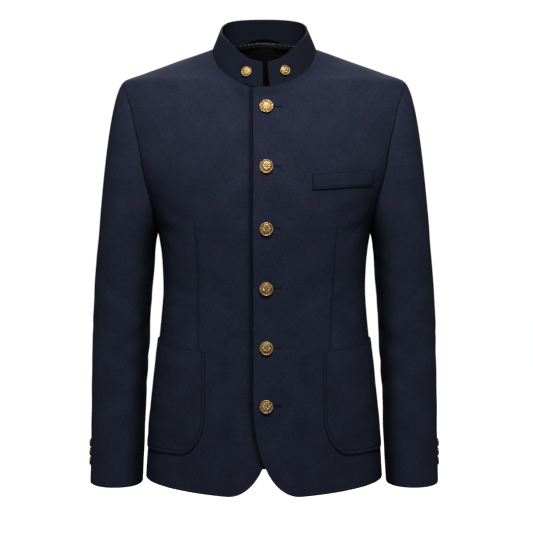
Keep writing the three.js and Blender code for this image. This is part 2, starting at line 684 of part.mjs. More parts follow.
// A patch pocket lies on the front and runs round the side. Its lower corners are round.
function makePatch(side) {
  const low = steps(5).map((t) => PATCH_CORNER.tall * (1 - Math.cos((Math.PI / 2) * t)));
  const tall = PATCH.top - PATCH.bottom;
  const high = steps(3).slice(1).map((t) => lerp(PATCH_CORNER.tall, tall, t));
  const surface = (out) => [...low, ...high].map((height) => {
    const rest = Math.max(0, 1 - height / PATCH_CORNER.tall);
    const inset = PATCH_CORNER.wide * (1 - Math.sqrt(1 - rest ** 2));
    return steps(12).map((t) => {
      const distance = lerp(PATCH.front + inset, PATCH.front + PATCH.width - inset, t);
      const across = (distance - PATCH.front) / PATCH.width;
      const z = PATCH.bottom + height + PATCH.rise * across * (height / tall);
      return frontPoint(side, roundAt(distance, z, "front"), z, out);
    });
  });
  const [face, back] = [surface(PATCH_LIFT + PATCH_WALL), surface(PATCH_LIFT)];
  addWall(`patch_pocket_${side}`, side, face, back, materials.cloth);
}

function makeWelt() {
  const surface = (out) => steps(3).map((up) => steps(8).map((t) => {
    const z = WELT.bottom + WELT.height * up + WELT.rise * t;
    return frontPoint("left", roundAt(WELT.front + WELT.width * t, z, "front"), z, out);
  }));
  add("chest_welt", wall(surface(PATCH_LIFT + PATCH_WALL), surface(PATCH_LIFT)), materials.cloth);
}

// Buttons

// A domed metal button on a short shank, its back on z = 0
function buttonGeometry(size) {
  const profile = [
    [0, SEAM_GAP],
    [size.shank, SEAM_GAP],
    [size.shank, size.stand],
    [size.radius * 0.94, size.stand],
    [size.radius, size.stand + size.edge / 2],
    [size.radius * 0.93, size.stand + size.rim],
    [size.radius * 0.78, size.stand + size.rim * 0.72],
    [size.radius * 0.4, size.stand + size.dome * 0.94],
    [0, size.stand + size.dome],
  ];
  const lathe = new THREE.LatheGeometry(profile.map(([x, y]) => new THREE.Vector2(x, y)), size.sides);
  return lathe.rotateX(Math.PI / 2);
}

function addButton(name, size, place, normal) {
  const mesh = add(name, buttonGeometry(size), materials.brass);
  mesh.position.copy(place);
  mesh.quaternion.setFromUnitVectors(new THREE.Vector3(0, 0, 1), normal.clone().normalize());
}

function makeFrontButtons() {
  FRONT_BUTTONS.heights.forEach((z, i) => {
    const round = roundAt(FRONT_BUTTONS.across, z, "front");
    addButton(`front_button_${i + 1}`, BIG_BUTTON, frontPoint("left", round, z), torsoNormal(round, z));
  });
}

function makeCollarButtons() {
  for (const side of ["left", "right"]) {
    const end = COLLAR_END[side];
    const share = COLLAR_BUTTON.share;
    const radius = lerp(NECK.side, COLLAR_TOP.side, share);
    const turn = Math.asin((lerp(end.base, end.top, share) + COLLAR_BUTTON.fromEnd) / radius);
    const angle = side === "left" ? Math.PI / 2 - turn : Math.PI / 2 + turn;
    const place = collarPoint(angle, share);
    const normal = collarPoint(angle, share, 1).sub(place);
    addButton(`collar_button_${side}`, MID_BUTTON, place, normal);
  }
}

function makeCuffButtons() {
  const [top, cuff] = [SLEEVE_SECTIONS[0].z, SLEEVE_SECTIONS[SLEEVE_SECTIONS.length - 1].z];
  const angle = degToRad(CUFF_BUTTONS.angle);
  for (const side of ["left", "right"]) {
    CUFF_BUTTONS.heights.forEach((z, i) => {
      const down = 1 + (top - z) / (top - cuff);
      const place = sleevePoint(angle, down);
      const normal = sleevePoint(angle, down, 1).sub(place);
      if (side === "right") [place.x, normal.x] = [-place.x, -normal.x];
      addButton(`cuff_button_${side}_${i + 1}`, SMALL_BUTTON, place, normal);
    });
  }
}

// The loop for hanging the jacket up: a narrow strip that arches off the inside of the collar
function makeLoop() {
  const columns = steps(12);
  const rows = steps(1);
  const surface = (thick) => rows.map((up) => columns.map((t) => {
    const across = lerp(-1, 1, t);
    const middle = 1 - across ** 2;
    const angle = -Math.PI / 2 + Math.asin((LOOP.half * across) / NECK.side);
    const stand = COLLAR_WALL + 3 * SEAM_GAP + LOOP.lift * middle + thick;
    const point = collarPoint(angle, 0.04, -stand);
    point.z += LOOP.arch * middle + LOOP.tall * up;
    return point;
  }));
  add("hanging_loop", wall(surface(0), surface(LOOP.thick)), materials.cloth);
}

for (const side of ["left", "right"]) {
  makeFront(side);
  makeBack(side);
  makeSleeve(side);
  makePatch(side);
  makeLining(side);
}
makeCollar();
makeWelt();
makeLoop();
makeFrontButtons();
makeCollarButtons();
makeCuffButtons();

export default jacket;
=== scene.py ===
"""A stand-collar jacket of navy wool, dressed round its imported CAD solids.

Run as a script: every piece is made over its solid, in metres. +Z is up, the front faces -Y and +X
is the wearer's left.
"""

import math

import bpy
import numpy as np
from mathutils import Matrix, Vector


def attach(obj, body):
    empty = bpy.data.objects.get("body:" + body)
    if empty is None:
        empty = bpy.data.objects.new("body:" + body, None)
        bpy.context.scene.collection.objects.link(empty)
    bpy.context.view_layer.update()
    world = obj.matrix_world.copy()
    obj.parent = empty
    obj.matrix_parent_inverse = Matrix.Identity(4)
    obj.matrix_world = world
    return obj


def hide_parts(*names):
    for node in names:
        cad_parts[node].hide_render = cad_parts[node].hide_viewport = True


bl_info = {
    "name": "Stand-collar jacket",
    "version": (1, 0, 0),
    "blender": (4, 5, 0),
    "location": "3D View > Sidebar > Jacket",
    "description": "Cloth, lining, sewing and metal buttons of a stand-collar jacket",
    "category": "Add Mesh",
}

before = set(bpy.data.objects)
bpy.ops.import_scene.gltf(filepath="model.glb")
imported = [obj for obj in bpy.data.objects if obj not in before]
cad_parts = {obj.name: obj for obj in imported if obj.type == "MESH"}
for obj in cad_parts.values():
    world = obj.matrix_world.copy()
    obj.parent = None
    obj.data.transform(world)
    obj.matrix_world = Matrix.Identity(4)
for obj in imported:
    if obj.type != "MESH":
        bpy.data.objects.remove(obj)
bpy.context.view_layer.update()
MM = 0.001

# Sizes in millimetres. They are the solids' own, apart from some at the collar, its buttons, the
# loop, the patch pockets and the welt, which are fitted to the photograph by up to 3.2 mm.

BODY_WALL, SLEEVE_WALL, COLLAR_WALL, PATCH_WALL, LINING_WALL = 2.4, 2.0, 3.0, 1.6, 1.0
SEAM_GAP = 0.3
ROLL = 0.9  # share of a wall's thickness over which its edge is rolled
HALF_GAP = -0.06  # sewn edges meet here, where the solids keep a gap

TORSO_ROUNDNESS = 2.2
TORSO = np.array([  # height, half width at the side line, depth before it, depth behind it
    (-700, 191.5, 113.5, 121), (-656, 188.8, 113, 117), (-592, 183, 112, 109),
    (-528, 175.6, 110.5, 99), (-464, 168.8, 109, 91), (-416, 164, 108.5, 88),
    (-376, 161.4, 110, 91), (-336, 162.8, 113.5, 99), (-288, 169.5, 117, 110),
    (-265, 178, 118, 114), (-230, 194.7, 118, 119), (-190, 214.7, 114.5, 121),
    (-150, 227.6, 107, 119.5), (-111, 236, 96.5, 115), (-78, 234, 84, 108),
    (-62, 229.5, 76, 104), (-49, 223, 65.5, 99), (-36, 190, 50, 93.5),
    (-23, 153, 36.5, 87.5), (-10, 117, 23, 81), (2, 83.5, 12, 74.5), (14, 50, 5, 68),
])
SIDE, FRONT, BACK = 1, 2, 3  # columns of that table

NECK = {SIDE: 81.5, FRONT: 73, BACK: 68}
COLLAR_TOP = {SIDE: 69, FRONT: 62, BACK: 62}
COLLAR_BACK_ROUNDNESS = 2.4
COLLAR_TOP_EDGE = np.array([(-1, 53), (-0.6, 46.5), (0, 32), (0.5, 16.5), (0.8, -1), (1, -18.5)])
COLLAR_GAP = -0.5  # the neckline's edge is tucked into the collar
COLLAR_END = {"left": (8.5, 4.4), "right": (1.9, 1.9)}  # short of the centre line, at base and top
COLLAR_CORNER = 6
COLLAR_TUCK = 0.04  # share of its height that goes down inside the neckline
COLLAR_RADIUS, COLLAR_HEIGHT = 72, 50  # rounded, for laying patterns on it

ARMHOLE_Y, ARMHOLE_Z, ARMHOLE_HALF, ARMHOLE_FRONT, ARMHOLE_BACK = 3, -168.5, 119.5, 64, 70
LAP, LAP_CLEAR, LAP_STEP, LAP_BLEND, LAP_CORNER = 17, 3, 3, 40, 4
CUTAWAY_REACH, CUTAWAY_START, CUTAWAY_ROUNDNESS, CUTAWAY_TURN = 58, -540, 2.2, 0.6
HEM_SIDE, HEM_FRONT, HEM_BACK, HEM_BEND = -679, -695, -693, 0.8
SIDE_SEAM_BEHIND, SIDE_SEAM_BENDS_TO = 0.22, -430

SLEEVE_ROUNDNESS = 2.15
SLEEVE = np.array([  # height, inner and outer edge, front and back
    (-688.5, 195.5, 279.5, -58, 49), (-624, 192.2, 278.7, -53, 51), (-544, 189.4, 277.5, -48, 58),
    (-464, 184.6, 276, -48, 67), (-384, 179.5, 272.8, -53, 74), (-315, 174, 266.8, -60, 78),
])
SLEEVE_TOP, SLEEVE_CUFF = -315, -688.5
ARMHOLE_GAP = -0.25
HEAD_OUT, HEAD_DOWN = (8, 66), (24, 60)  # the head's slope at the underarm and on top
HEAD_BULGE, HEAD_DOWN_SIDE = 34, 46
SLEEVE_RADIUS = 52
CUFF_DROP = 2
SEAM_POINTS = {"front": (1, 10), "back": (14, 208)}  # armhole point and angle at the cuff
SEAM_SETTLES = 1.6
SEAM_ROWS, ARMHOLE_ROWS, SHOULDER_ROWS = 8, 10, 3  # shares of a panel's outer edge

PATCH_LIFT = 0.5
PATCH_FRONT, PATCH_WIDTH, PATCH_TOP, PATCH_BOTTOM, PATCH_RISE = 93, 164, -469, -631.5, 14
PATCH_WIDE, PATCH_TALL = 44, 66  # the rounding of its lower corners
PATCH_STITCHED, WELT_STITCHED, COLLAR_STITCHED = 5.0, 2.4, 4.0  # from the edge to the stitching
WELT_FRONT, WELT_WIDTH, WELT_BOTTOM, WELT_HEIGHT, WELT_RISE = 74, 102, -217, 25, 6

BUTTON_HEIGHTS = (-89.2, -180.7, -276.2, -369.2, -461.6, -552.4)
BUTTON_ACROSS = 3.2
SLIT_MIDDLE, SLIT_HALF = 12.5, 14  # a buttonhole, across from the centre front
CUFF_HEIGHTS, CUFF_ANGLE = (-629, -643.8, -658.6), 191
COLLAR_BUTTON_IN, COLLAR_BUTTON_SHARE = 25, 0.435
LINING_DEPTH, LINING_TOP = 0.8, 3
LOOP_HALF, LOOP_TALL, LOOP_THICK, LOOP_ARCH, LOOP_LIFT = 26, 5, 1.2, 2.5, 2.6
LOOP_SHARE = 0.13  # of the collar's height, where the loop's ends are sewn


def lerp(a, b, t):
    return a + (b - a) * t


def smooth(at, low, high):
    """0 below low, 1 above high and an easy curve between them."""
    t = np.clip((at - low) / (high - low), 0, 1)
    return t * t * (3 - 2 * t)


def hermite(t, start, leave, end, arrive):
    return (start * (2 * t**3 - 3 * t**2 + 1) + leave * (t**3 - 2 * t**2 + t)
            + end * (3 * t**2 - 2 * t**3) + arrive * (t**3 - t**2))


def through(table, key, at):
    """A column of a table at places in its first one, on a smooth curve that never overshoots."""
    x, y = table[:, 0], table[:, key]
    slope = np.diff(y) / np.diff(x)
    a, b = slope[:-1], slope[1:]
    same = a * b > 0
    middle = np.where(same, 2 * a * b / np.where(same, a + b, 1), 0)
    tangent = np.concatenate([slope[:1], middle, slope[-1:]])
    at = np.asarray(at, float)
    i = np.clip(np.searchsorted(x, at) - 1, 0, len(x) - 2)
    span = x[i + 1] - x[i]
    t = np.clip((at - x[i]) / span, 0, 1)
    value = hermite(t, y[i], tangent[i] * span, y[i + 1], tangent[i + 1] * span)
    beyond = np.minimum(at - x[0], 0) * tangent[0] + np.maximum(at - x[-1], 0) * tangent[-1]
    return value + beyond


def sized(value, exponent):
    return np.sign(value) * np.abs(value) ** (2 / exponent)


def unit(v):
    return v / np.linalg.norm(v, axis=-1, keepdims=True)


# The torso's surface. round is 0 at the side line, 1 at the centre front and -1 at the centre back.

SAMPLES = 60
TURNS = np.linspace(0, np.pi / 2, SAMPLES + 1)
ACROSS_STEPS = np.diff(sized(np.cos(TURNS), TORSO_ROUNDNESS))
DEEP_STEPS = np.diff(sized(np.sin(TURNS), TORSO_ROUNDNESS))


def quarter(z, face):
    """Half width, depth and running lengths of one quarter of the section at each height."""
    z = np.asarray(z, float)
    side = through(TORSO, SIDE, z)
    depth = np.where(face == FRONT, through(TORSO, FRONT, z), through(TORSO, BACK, z))
    parts = np.hypot(side[..., None] * ACROSS_STEPS, depth[..., None] * DEEP_STEPS)
    lengths = np.concatenate([np.zeros_like(side)[..., None], np.cumsum(parts, -1)], -1)
    return side, depth, lengths


def torso_point(round_, z):
    round_, z = np.broadcast_arrays(np.asarray(round_, float), np.asarray(z, float))
    over = np.abs(round_) > 1
    share = np.where(over, 2 - np.abs(round_), np.abs(round_))
    side, depth, lengths = quarter(z, np.where(round_ >= 0, FRONT, BACK))
    along = share * lengths[..., -1]
    i = np.clip((lengths[..., 1:] < along[..., None]).sum(-1), 0, SAMPLES - 1)
    low = np.take_along_axis(lengths, i[..., None], -1)[..., 0]
    high = np.take_along_axis(lengths, i[..., None] + 1, -1)[..., 0]
    angle = (i + (along - low) / (high - low)) / SAMPLES * (np.pi / 2)
    x = side * sized(np.cos(angle), TORSO_ROUNDNESS)
    y = depth * sized(np.sin(angle), TORSO_ROUNDNESS)
    return np.stack([np.where(over, -x, x), np.where(round_ >= 0, -y, y), z], -1)


def torso_normal(round_, z):
    up = torso_point(round_, z + 0.8) - torso_point(round_, z - 0.8)
    along = torso_point(round_ + 0.004, z) - torso_point(round_ - 0.004, z)
    return unit(np.cross(up, along))


def round_at(distance, z, face):
    """round at a distance from the centre front or back, along the section."""
    near = quarter(z, face)[2][..., -1]
    far = quarter(z, BACK if face == FRONT else FRONT)[2][..., -1]
    value = np.where(distance <= near, 1 - distance / near, -(distance - near) / far)
    return value if face == FRONT else -value


def distance_at(round_, z, face):
    toward = round_ if face == FRONT else -round_
    near = quarter(z, face)[2][..., -1]
    far = quarter(z, BACK if face == FRONT else FRONT)[2][..., -1]
    return np.where(toward >= 0, (1 - toward) * near, near - toward * far)


def round_of_depth(y, z):
    """round of the point on the section at z that lies y before or behind the side line."""
    _, depth, lengths = quarter(z, np.where(y <= 0, FRONT, BACK))
    share = np.clip(np.abs(y) / depth, 0, 1) ** (TORSO_ROUNDNESS / 2)
    at = np.arcsin(share) / (np.pi / 2) * SAMPLES
    i = np.clip(at.astype(int), 0, SAMPLES - 1)
    low = np.take_along_axis(lengths, i[..., None], -1)[..., 0]
    high = np.take_along_axis(lengths, i[..., None] + 1, -1)[..., 0]
    return np.where(y <= 0, 1, -1) * lerp(low, high, at - i) / lengths[..., -1]


def neckline(angle, face):
    """The neckline at an angle seen from above: 0 at the side, 90 degrees at the centre."""
    angle = np.asarray(angle, float)
    x, y = NECK[SIDE] * np.cos(angle), NECK[face] * np.sin(angle)
    low, high = np.full(angle.shape, -120.0), np.full(angle.shape, 30.0)
    for _ in range(40):
        z = (low + high) / 2
        reach = (x / through(TORSO, SIDE, z)) ** TORSO_ROUNDNESS
        outside = reach + (y / through(TORSO, face, z)) ** TORSO_ROUNDNESS > 1
        low, high = np.where(outside, low, z), np.where(outside, z, high)
    return round_of_depth(-y if face == FRONT else y, low), low


def armhole(angle, inset=0):
    """The armhole at an angle seen from the side: 0 at the underarm, 90 degrees at the front."""
    half = np.where(np.sin(angle) > 0, ARMHOLE_FRONT, ARMHOLE_BACK) - inset
    z = ARMHOLE_Z - (ARMHOLE_HALF - inset) * np.cos(angle)
    return round_of_depth(ARMHOLE_Y - half * np.sin(angle), z), z


SHOULDER_ANGLE = np.pi - math.asin(ARMHOLE_Y / ARMHOLE_FRONT)
SHOULDER_Z = float(armhole(np.array(SHOULDER_ANGLE))[1])
UNDERARM_ROUND, UNDERARM_Z = (float(value) for value in armhole(np.array(0.0)))
NECK_CORNER_Z = float(neckline(np.array(0.0), FRONT)[1])


def side_seam(z):
    share = smooth(UNDERARM_Z - z, 0, UNDERARM_Z - SIDE_SEAM_BENDS_TO)
    return lerp(UNDERARM_ROUND, -SIDE_SEAM_BEHIND, share)


def hem_height(round_):
    end = np.where(round_ >= 0, HEM_FRONT, HEM_BACK)
    return lerp(HEM_SIDE, end, np.abs(round_) ** HEM_BEND)


def cutaway(angle):
    wide, tall = CUTAWAY_REACH + LAP, CUTAWAY_START - HEM_FRONT
    z = CUTAWAY_START - tall * sized(np.sin(angle), CUTAWAY_ROUNDNESS)
    return CUTAWAY_REACH - wide * sized(np.cos(angle), CUTAWAY_ROUNDNESS), z


def path_of(round_, z):
    """A path over the torso, asked for by its share of length from 0 to 1."""
    places = torso_point(round_, z)
    lengths = np.linalg.norm(np.diff(places, axis=0), axis=1)
    shares = np.concatenate([[0], np.cumsum(lengths)]) / lengths.sum()
    return lambda t: np.stack([np.interp(t, shares, round_), np.interp(t, shares, z)], -1)


def joined(*parts):
    """Paths end to end, each with its share of the whole: pairs of a path and its count."""
    marks = np.cumsum([0] + [count for _, count in parts]) / sum(count for _, count in parts)

    def path(t):
        t = np.asarray(t, float)
        i = np.clip(np.searchsorted(marks, t, side="right") - 1, 0, len(parts) - 1)
        out = np.zeros(t.shape + (2,))
        for k, (part, _) in enumerate(parts):
            here = i == k
            out[here] = part((t[here] - marks[k]) / (marks[k + 1] - marks[k]))
        return out

    return path


HUNDRED = np.linspace(0, 1, 101)


def outer_edge(face):
    """The outer edge of a panel, from the hem up: side seam, armhole and shoulder seam."""
    inward = HALF_GAP if face == FRONT else -HALF_GAP

    def nudged(round_, z):
        return round_ + inward / quarter(z, face)[2][..., -1], z

    hem_z = float(hem_height(side_seam(np.array(HEM_SIDE))))
    seam_z = lerp(hem_z, UNDERARM_Z, HUNDRED)
    seam = path_of(*nudged(side_seam(seam_z), seam_z))
    shoulder_z = lerp(SHOULDER_Z, NECK_CORNER_Z, HUNDRED)
    shoulder = path_of(*nudged(np.zeros(101), shoulder_z))
    last = SHOULDER_ANGLE if face == FRONT else SHOULDER_ANGLE - 2 * np.pi

    def hole(t):
        round_, z = armhole(last * t)
        end = np.clip(1 - 20 * np.minimum(t, 1 - t), 0, 1)
        return np.stack([lerp(round_, nudged(round_, z)[0], end), z], -1)

    return joined((seam, SEAM_ROWS), (hole, ARMHOLE_ROWS), (shoulder, SHOULDER_ROWS))


def patch_between(left, right, bottom, top, v, s):
    """round and z of a grid between four edges, blended from them."""
    v, s = np.asarray(v)[:, None, None], np.asarray(s)[None, :, None]
    rows, columns = v[:, 0, 0], s[0, :, 0]
    corner = [edge(np.array([end]))[0]
              for edge, end in ((bottom, 0), (bottom, 1), (top, 0), (top, 1))]
    grid = (1 - s) * left(rows)[:, None] + s * right(rows)[:, None]
    grid = grid + (1 - v) * bottom(columns)[None] + v * top(columns)[None]
    grid = grid - (1 - s) * (1 - v) * corner[0] - s * (1 - v) * corner[1]
    grid = grid - (1 - s) * v * corner[2] - s * v * corner[3]
    return grid[..., 0], grid[..., 1]


def front_grid(v, s):
    top_z = float(neckline(np.array(np.pi / 2), FRONT)[1])
    turn = np.pi / 2 * CUTAWAY_TURN
    lap_top = top_z - LAP_CORNER

    def on_front(distance, z):
        distance, z = np.broadcast_arrays(distance, z)
        return round_at(distance, z, FRONT), z

    eighth = np.pi / 4 * HUNDRED
    corner = (-LAP + LAP_CORNER * (1 - np.cos(eighth)), lap_top + LAP_CORNER * np.sin(eighth))
    straight_z = lerp(CUTAWAY_START, lap_top, HUNDRED)
    edge = [np.concatenate([a, b[1:]]) for a, b in zip((np.full(101, -LAP), straight_z), corner)]
    right = joined((path_of(*on_front(*cutaway(turn * (1 - HUNDRED)))), 6),
                   (path_of(*on_front(*edge)), 15))
    left = outer_edge(FRONT)
    foot = left(np.array([0.0]))[0, 0]
    hem_end = float(round_at(np.array(float(CUTAWAY_REACH)), np.array(float(HEM_FRONT)), FRONT))
    hem_round = lerp(foot, hem_end, HUNDRED)
    hem_z = hem_height(hem_round)
    hem_z = hem_z + (HEM_FRONT - hem_z[-1]) * smooth(HUNDRED, 0.35, 1)
    bottom = joined((path_of(hem_round, hem_z), 9),
                    (path_of(*on_front(*cutaway(lerp(np.pi / 2, turn, HUNDRED)))), 4))
    neck = [value.copy() for value in neckline(np.pi / 2 * HUNDRED, FRONT)]
    for value, end in zip(neck, left(np.array([1.0]))[0]):
        value[0] = end
    lap = [-(LAP - LAP_CORNER) * HUNDRED, np.full(101, top_z)]
    turned = (-LAP + LAP_CORNER - LAP_CORNER * np.sin(eighth),
              lap_top + LAP_CORNER * np.cos(eighth))
    lap = [np.concatenate([a, b[1:]]) for a, b in zip(lap, turned)]
    top = joined((path_of(*neck), 9), (path_of(*on_front(*lap)), 4))
    return patch_between(left, right, bottom, top, v, s)


def back_grid(v, s):
    left = outer_edge(BACK)
    top_z = float(neckline(np.array(np.pi / 2), BACK)[1])

    def right(t):
        z = lerp(HEM_BACK, top_z, np.asarray(t, float))
        return np.stack([round_at(np.full(z.shape, HALF_GAP), z, BACK), z], -1)

    ends = [left(np.array([0.0]))[0], right([0.0])[0], left(np.array([1.0]))[0], right([1.0])[0]]

    def bottom(t):
        round_ = lerp(ends[0][0], ends[1][0], np.asarray(t, float))
        z = np.where(np.asarray(t) >= 1, ends[1][1], hem_height(round_))
        return np.stack([round_, z], -1)

    neck = [value.copy() for value in neckline(np.pi / 2 * HUNDRED, BACK)]
    for k, value in enumerate(neck):
        value[0], value[-1] = ends[2][k], ends[3][k]
    return patch_between(left, right, bottom, path_of(*neck), v, s)


# The sleeve's surface. angle is 0 at the inner side and 90 degrees at the front.


def sleeve_section(angle, z):
    inner, outer, front, back = (through(SLEEVE, key, z) for key in (1, 2, 3, 4))
    c, s = sized(np.cos(angle), SLEEVE_ROUNDNESS), sized(np.sin(angle), SLEEVE_ROUNDNESS)
    x = (inner + outer) / 2 - (outer - inner) / 2 * c
    y = (front + back) / 2 - (back - front) / 2 * s
    drop = CUFF_DROP * s * (SLEEVE_TOP - z) / (SLEEVE_TOP - SLEEVE_CUFF)
    return np.stack([x, y, z - drop], -1)


def sleeve_surface(angle, down):
    """down is 0 to 1 over the head, from the armhole to the first section, and 1 to 2 below."""
    angle, down = np.broadcast_arrays(np.asarray(angle, float), np.asarray(down, float))
    below = sleeve_section(angle, lerp(SLEEVE_TOP, SLEEVE_CUFF, np.maximum(down, 1) - 1))
    edge, inner = armhole(angle), armhole(angle, 1)
    at = torso_point(*edge)
    start = at + ARMHOLE_GAP * unit(torso_point(*inner) - at)
    top = np.full(angle.shape, float(SLEEVE_TOP))
    end = sleeve_section(angle, top)
    lift, sideways = (1 - np.cos(angle)) / 2, np.sin(angle)
    leave = np.stack([
        lerp(*HEAD_OUT, lift), -HEAD_BULGE * sideways,
        -lerp(*HEAD_DOWN, lift) - HEAD_DOWN_SIDE * sideways**2,
    ], -1)
    arrive = (sleeve_section(angle, top - 4) - end) * ((start[..., 2:] - end[..., 2:]) / 4)
    head = hermite(np.clip(down, 0, 1)[..., None], start, leave, end, arrive)
    return np.where((down >= 1)[..., None], below, head)


def sleeve_normal(angle, down):
    clear = np.clip(down, 0.01, 1.99)
    turned = sleeve_surface(angle + 0.02, clear) - sleeve_surface(angle - 0.02, clear)
    along = sleeve_surface(angle, clear + 0.008) - sleeve_surface(angle, clear - 0.008)
    return unit(np.cross(along, turned))


ARMHOLE_ANGLES = np.concatenate([
    np.linspace(0, SHOULDER_ANGLE, ARMHOLE_ROWS + 1),
    np.linspace(SHOULDER_ANGLE, 2 * np.pi, ARMHOLE_ROWS + 1)[1:],
])


def sleeve_angle(seam_from, seam_to, t, down):
    """The angle at a share t of the way round one half of the sleeve, from seam to seam."""
    count = len(ARMHOLE_ANGLES) - 1
    (first, cuff_first), (last, cuff_last) = SEAM_POINTS[seam_from], SEAM_POINTS[seam_to]
    if cuff_last < cuff_first:
        cuff_last += 360
    wrapped = np.concatenate([ARMHOLE_ANGLES[:count], ARMHOLE_ANGLES + 2 * np.pi])
    above = np.interp(first + t * ((last - first) % count), np.arange(len(wrapped)), wrapped)
    angle = lerp(above, np.radians(lerp(cuff_first, cuff_last, t)), smooth(down, 0, SEAM_SETTLES))
    return angle + HALF_GAP / SLEEVE_RADIUS * (1 - 2 * t)


# The collar's outer face. angle is 0 at the wearer's left, 90 degrees in front and -90 behind.


def collar_surface(angle, share):
    angle, share = np.broadcast_arrays(np.asarray(angle, float), np.asarray(share, float))
    front = np.sin(angle) > 0
    turn = np.arcsin(np.minimum(1, np.abs(np.sin(angle))))
    bases = [torso_point(*neckline(turn, face)) for face in (FRONT, BACK)]
    base = np.where(front[..., None], *bases)
    centre = np.stack([0 * share, 0 * share, base[..., 2] + 14], -1)
    base = base + COLLAR_GAP * unit(centre - base)
    roundness = np.where(front, 2, COLLAR_BACK_ROUNDNESS)
    deep = sized(np.sin(turn), roundness)
    top = np.stack([
        COLLAR_TOP[SIDE] * sized(np.abs(np.cos(angle)), roundness),
        np.where(front, -COLLAR_TOP[FRONT], COLLAR_TOP[BACK]) * deep,
        through(COLLAR_TOP_EDGE, 1, np.where(front, deep, -deep)),
    ], -1)
    point = lerp(base, top, share[..., None])
    point[..., 0] *= np.where(np.cos(angle) < 0, -1, 1)
    return point


def collar_normal(angle, share):
    clear = np.clip(share, 0.02, 0.98)
    along = collar_surface(angle + 0.02, clear) - collar_surface(angle - 0.02, clear)
    up = collar_surface(angle, clear + 0.02) - collar_surface(angle, clear - 0.02)
    return unit(np.cross(up, along))


def collar_end(side, share):
    """The angle at which an end of the collar stands, with its top corner rounded."""
    rise = np.maximum(0, share * 40 - (40 - COLLAR_CORNER))
    corner = COLLAR_CORNER - np.sqrt(np.maximum(0, COLLAR_CORNER**2 - rise**2))
    away = lerp(*COLLAR_END[side], share) + corner
    short = np.arcsin(away / lerp(NECK[SIDE], COLLAR_TOP[SIDE], share))
    return np.pi / 2 + (-short if side == "left" else short)


def collar_button_angle(side):
    share = COLLAR_BUTTON_SHARE
    radius = lerp(NECK[SIDE], COLLAR_TOP[SIDE], share)
    turn = math.asin((lerp(*COLLAR_END[side], share) + COLLAR_BUTTON_IN) / radius)
    return np.pi / 2 + (-turn if side == "left" else turn)


# Creases and soft forms. Each is a height along the cloth's normal, in millimetres.


def crease(u, v, start, end, half, deep, bow=0.0, lip=0.45):
    """A soft trough from start to end over the cloth, with a low lip on either side of it."""
    (u0, v0), (u1, v1) = start, end
    long_ = math.hypot(u1 - u0, v1 - v0)
    cu, cv = (u1 - u0) / long_, (v1 - v0) / long_
    along = ((u - u0) * cu + (v - v0) * cv) / long_
    middle = 4 * along * (1 - along)
    away = (v - v0) * cu - (u - u0) * cv - bow * np.clip(middle, 0, 1)
    fade = np.clip(middle, 0, 1) ** 0.8
    trough = np.exp(-((away / half) ** 2))
    lips = np.exp(-(((np.abs(away) - 1.9 * half) / half) ** 2))
    return -deep * fade * (trough - lip * lips)


def creases(u, v, rows):
    return sum((crease(u, v, *row) for row in rows), np.zeros_like(u))


def waver(u, v, seed, size, high):
    """Slow uneven swells of cloth that hangs free: a few waves in fixed random directions."""
    draw = np.random.default_rng(seed)
    total = np.zeros_like(u)
    for _ in range(7):
        turn, phase = draw.uniform(0, np.pi), draw.uniform(0, 2 * np.pi)
        wave = size * draw.uniform(0.6, 1.7)
        total = total + np.sin((u * np.cos(turn) + v * np.sin(turn)) * 2 * np.pi / wave + phase)
    return high * total / 3


def groove(away, half, deep):
    """A narrow sewn line at a signed distance away from the point."""
    return -deep * np.exp(-((away / half) ** 2))


def line_away(u, v, places):
    """Distance to a line through places, and the share of the line's length there."""
    best, share = np.full(u.shape, 1e9), np.zeros_like(u)
    places = np.asarray(places, float)
    lengths = np.linalg.norm(np.diff(places, axis=0), axis=1)
    done = np.concatenate([[0], np.cumsum(lengths)]) / lengths.sum()
    for k, (a, b) in enumerate(zip(places[:-1], places[1:])):
        d = b - a
        t = np.clip(((u - a[0]) * d[0] + (v - a[1]) * d[1]) / (d @ d), 0, 1)
        away = np.hypot(u - a[0] - t * d[0], v - a[1] - t * d[1])
        share = np.where(away < best, lerp(done[k], done[k + 1], t), share)
        best = np.minimum(best, away)
    return best, share


# Shells


def crowded(count, long_, ends=(0.3, 0.75, 1.3, 2.2)):
    """count steps from 0 to 1 with a few close ones at either end, for an edge that is rolled."""
    near = np.array(ends) / long_
    inner = np.linspace(near[-1] * 1.6, 1 - near[-1] * 1.6, count)
    return np.concatenate([[0], near, inner, 1 - near[::-1], [1]])


def thickened(steps, marks, half, between):
    """steps with close ones, between apart, for half to either side of each mark."""
    marks = np.asarray(marks, float)
    clear = np.abs(steps[:, None] - marks).min(1) > half + between / 2
    kept = steps[clear | (steps <= 0) | (steps >= 1)]
    fine = [np.arange(mark - half, mark + half + between / 2, between) for mark in marks]
    fine = np.unique(np.round(np.concatenate(fine), 6))
    fine = fine[np.concatenate([[True], np.diff(fine) > between / 2])]
    return np.sort(np.concatenate([kept, fine[(fine > 0) & (fine < 1)]]))


def edge_distance(points):
    """How far each point of a grid lies from the grid's nearest edge."""
    across = np.linalg.norm(np.diff(points, axis=1), axis=-1)
    up = np.linalg.norm(np.diff(points, axis=0), axis=-1)
    rows, columns = points.shape[:2]
    from_left = np.concatenate([np.zeros((rows, 1)), np.cumsum(across, 1)], 1)
    from_foot = np.concatenate([np.zeros((1, columns)), np.cumsum(up, 0)], 0)
    away = [from_left, from_left[:, -1:] - from_left, from_foot, from_foot[-1:] - from_foot]
    return np.minimum.reduce(away), from_left, from_foot


def settled(relief, points):
    """relief that dies away towards the neckline, where the collar holds the cloth."""
    _, _, from_foot = edge_distance(points)
    return relief * smooth(from_foot[-1:] - from_foot, -1, 7)


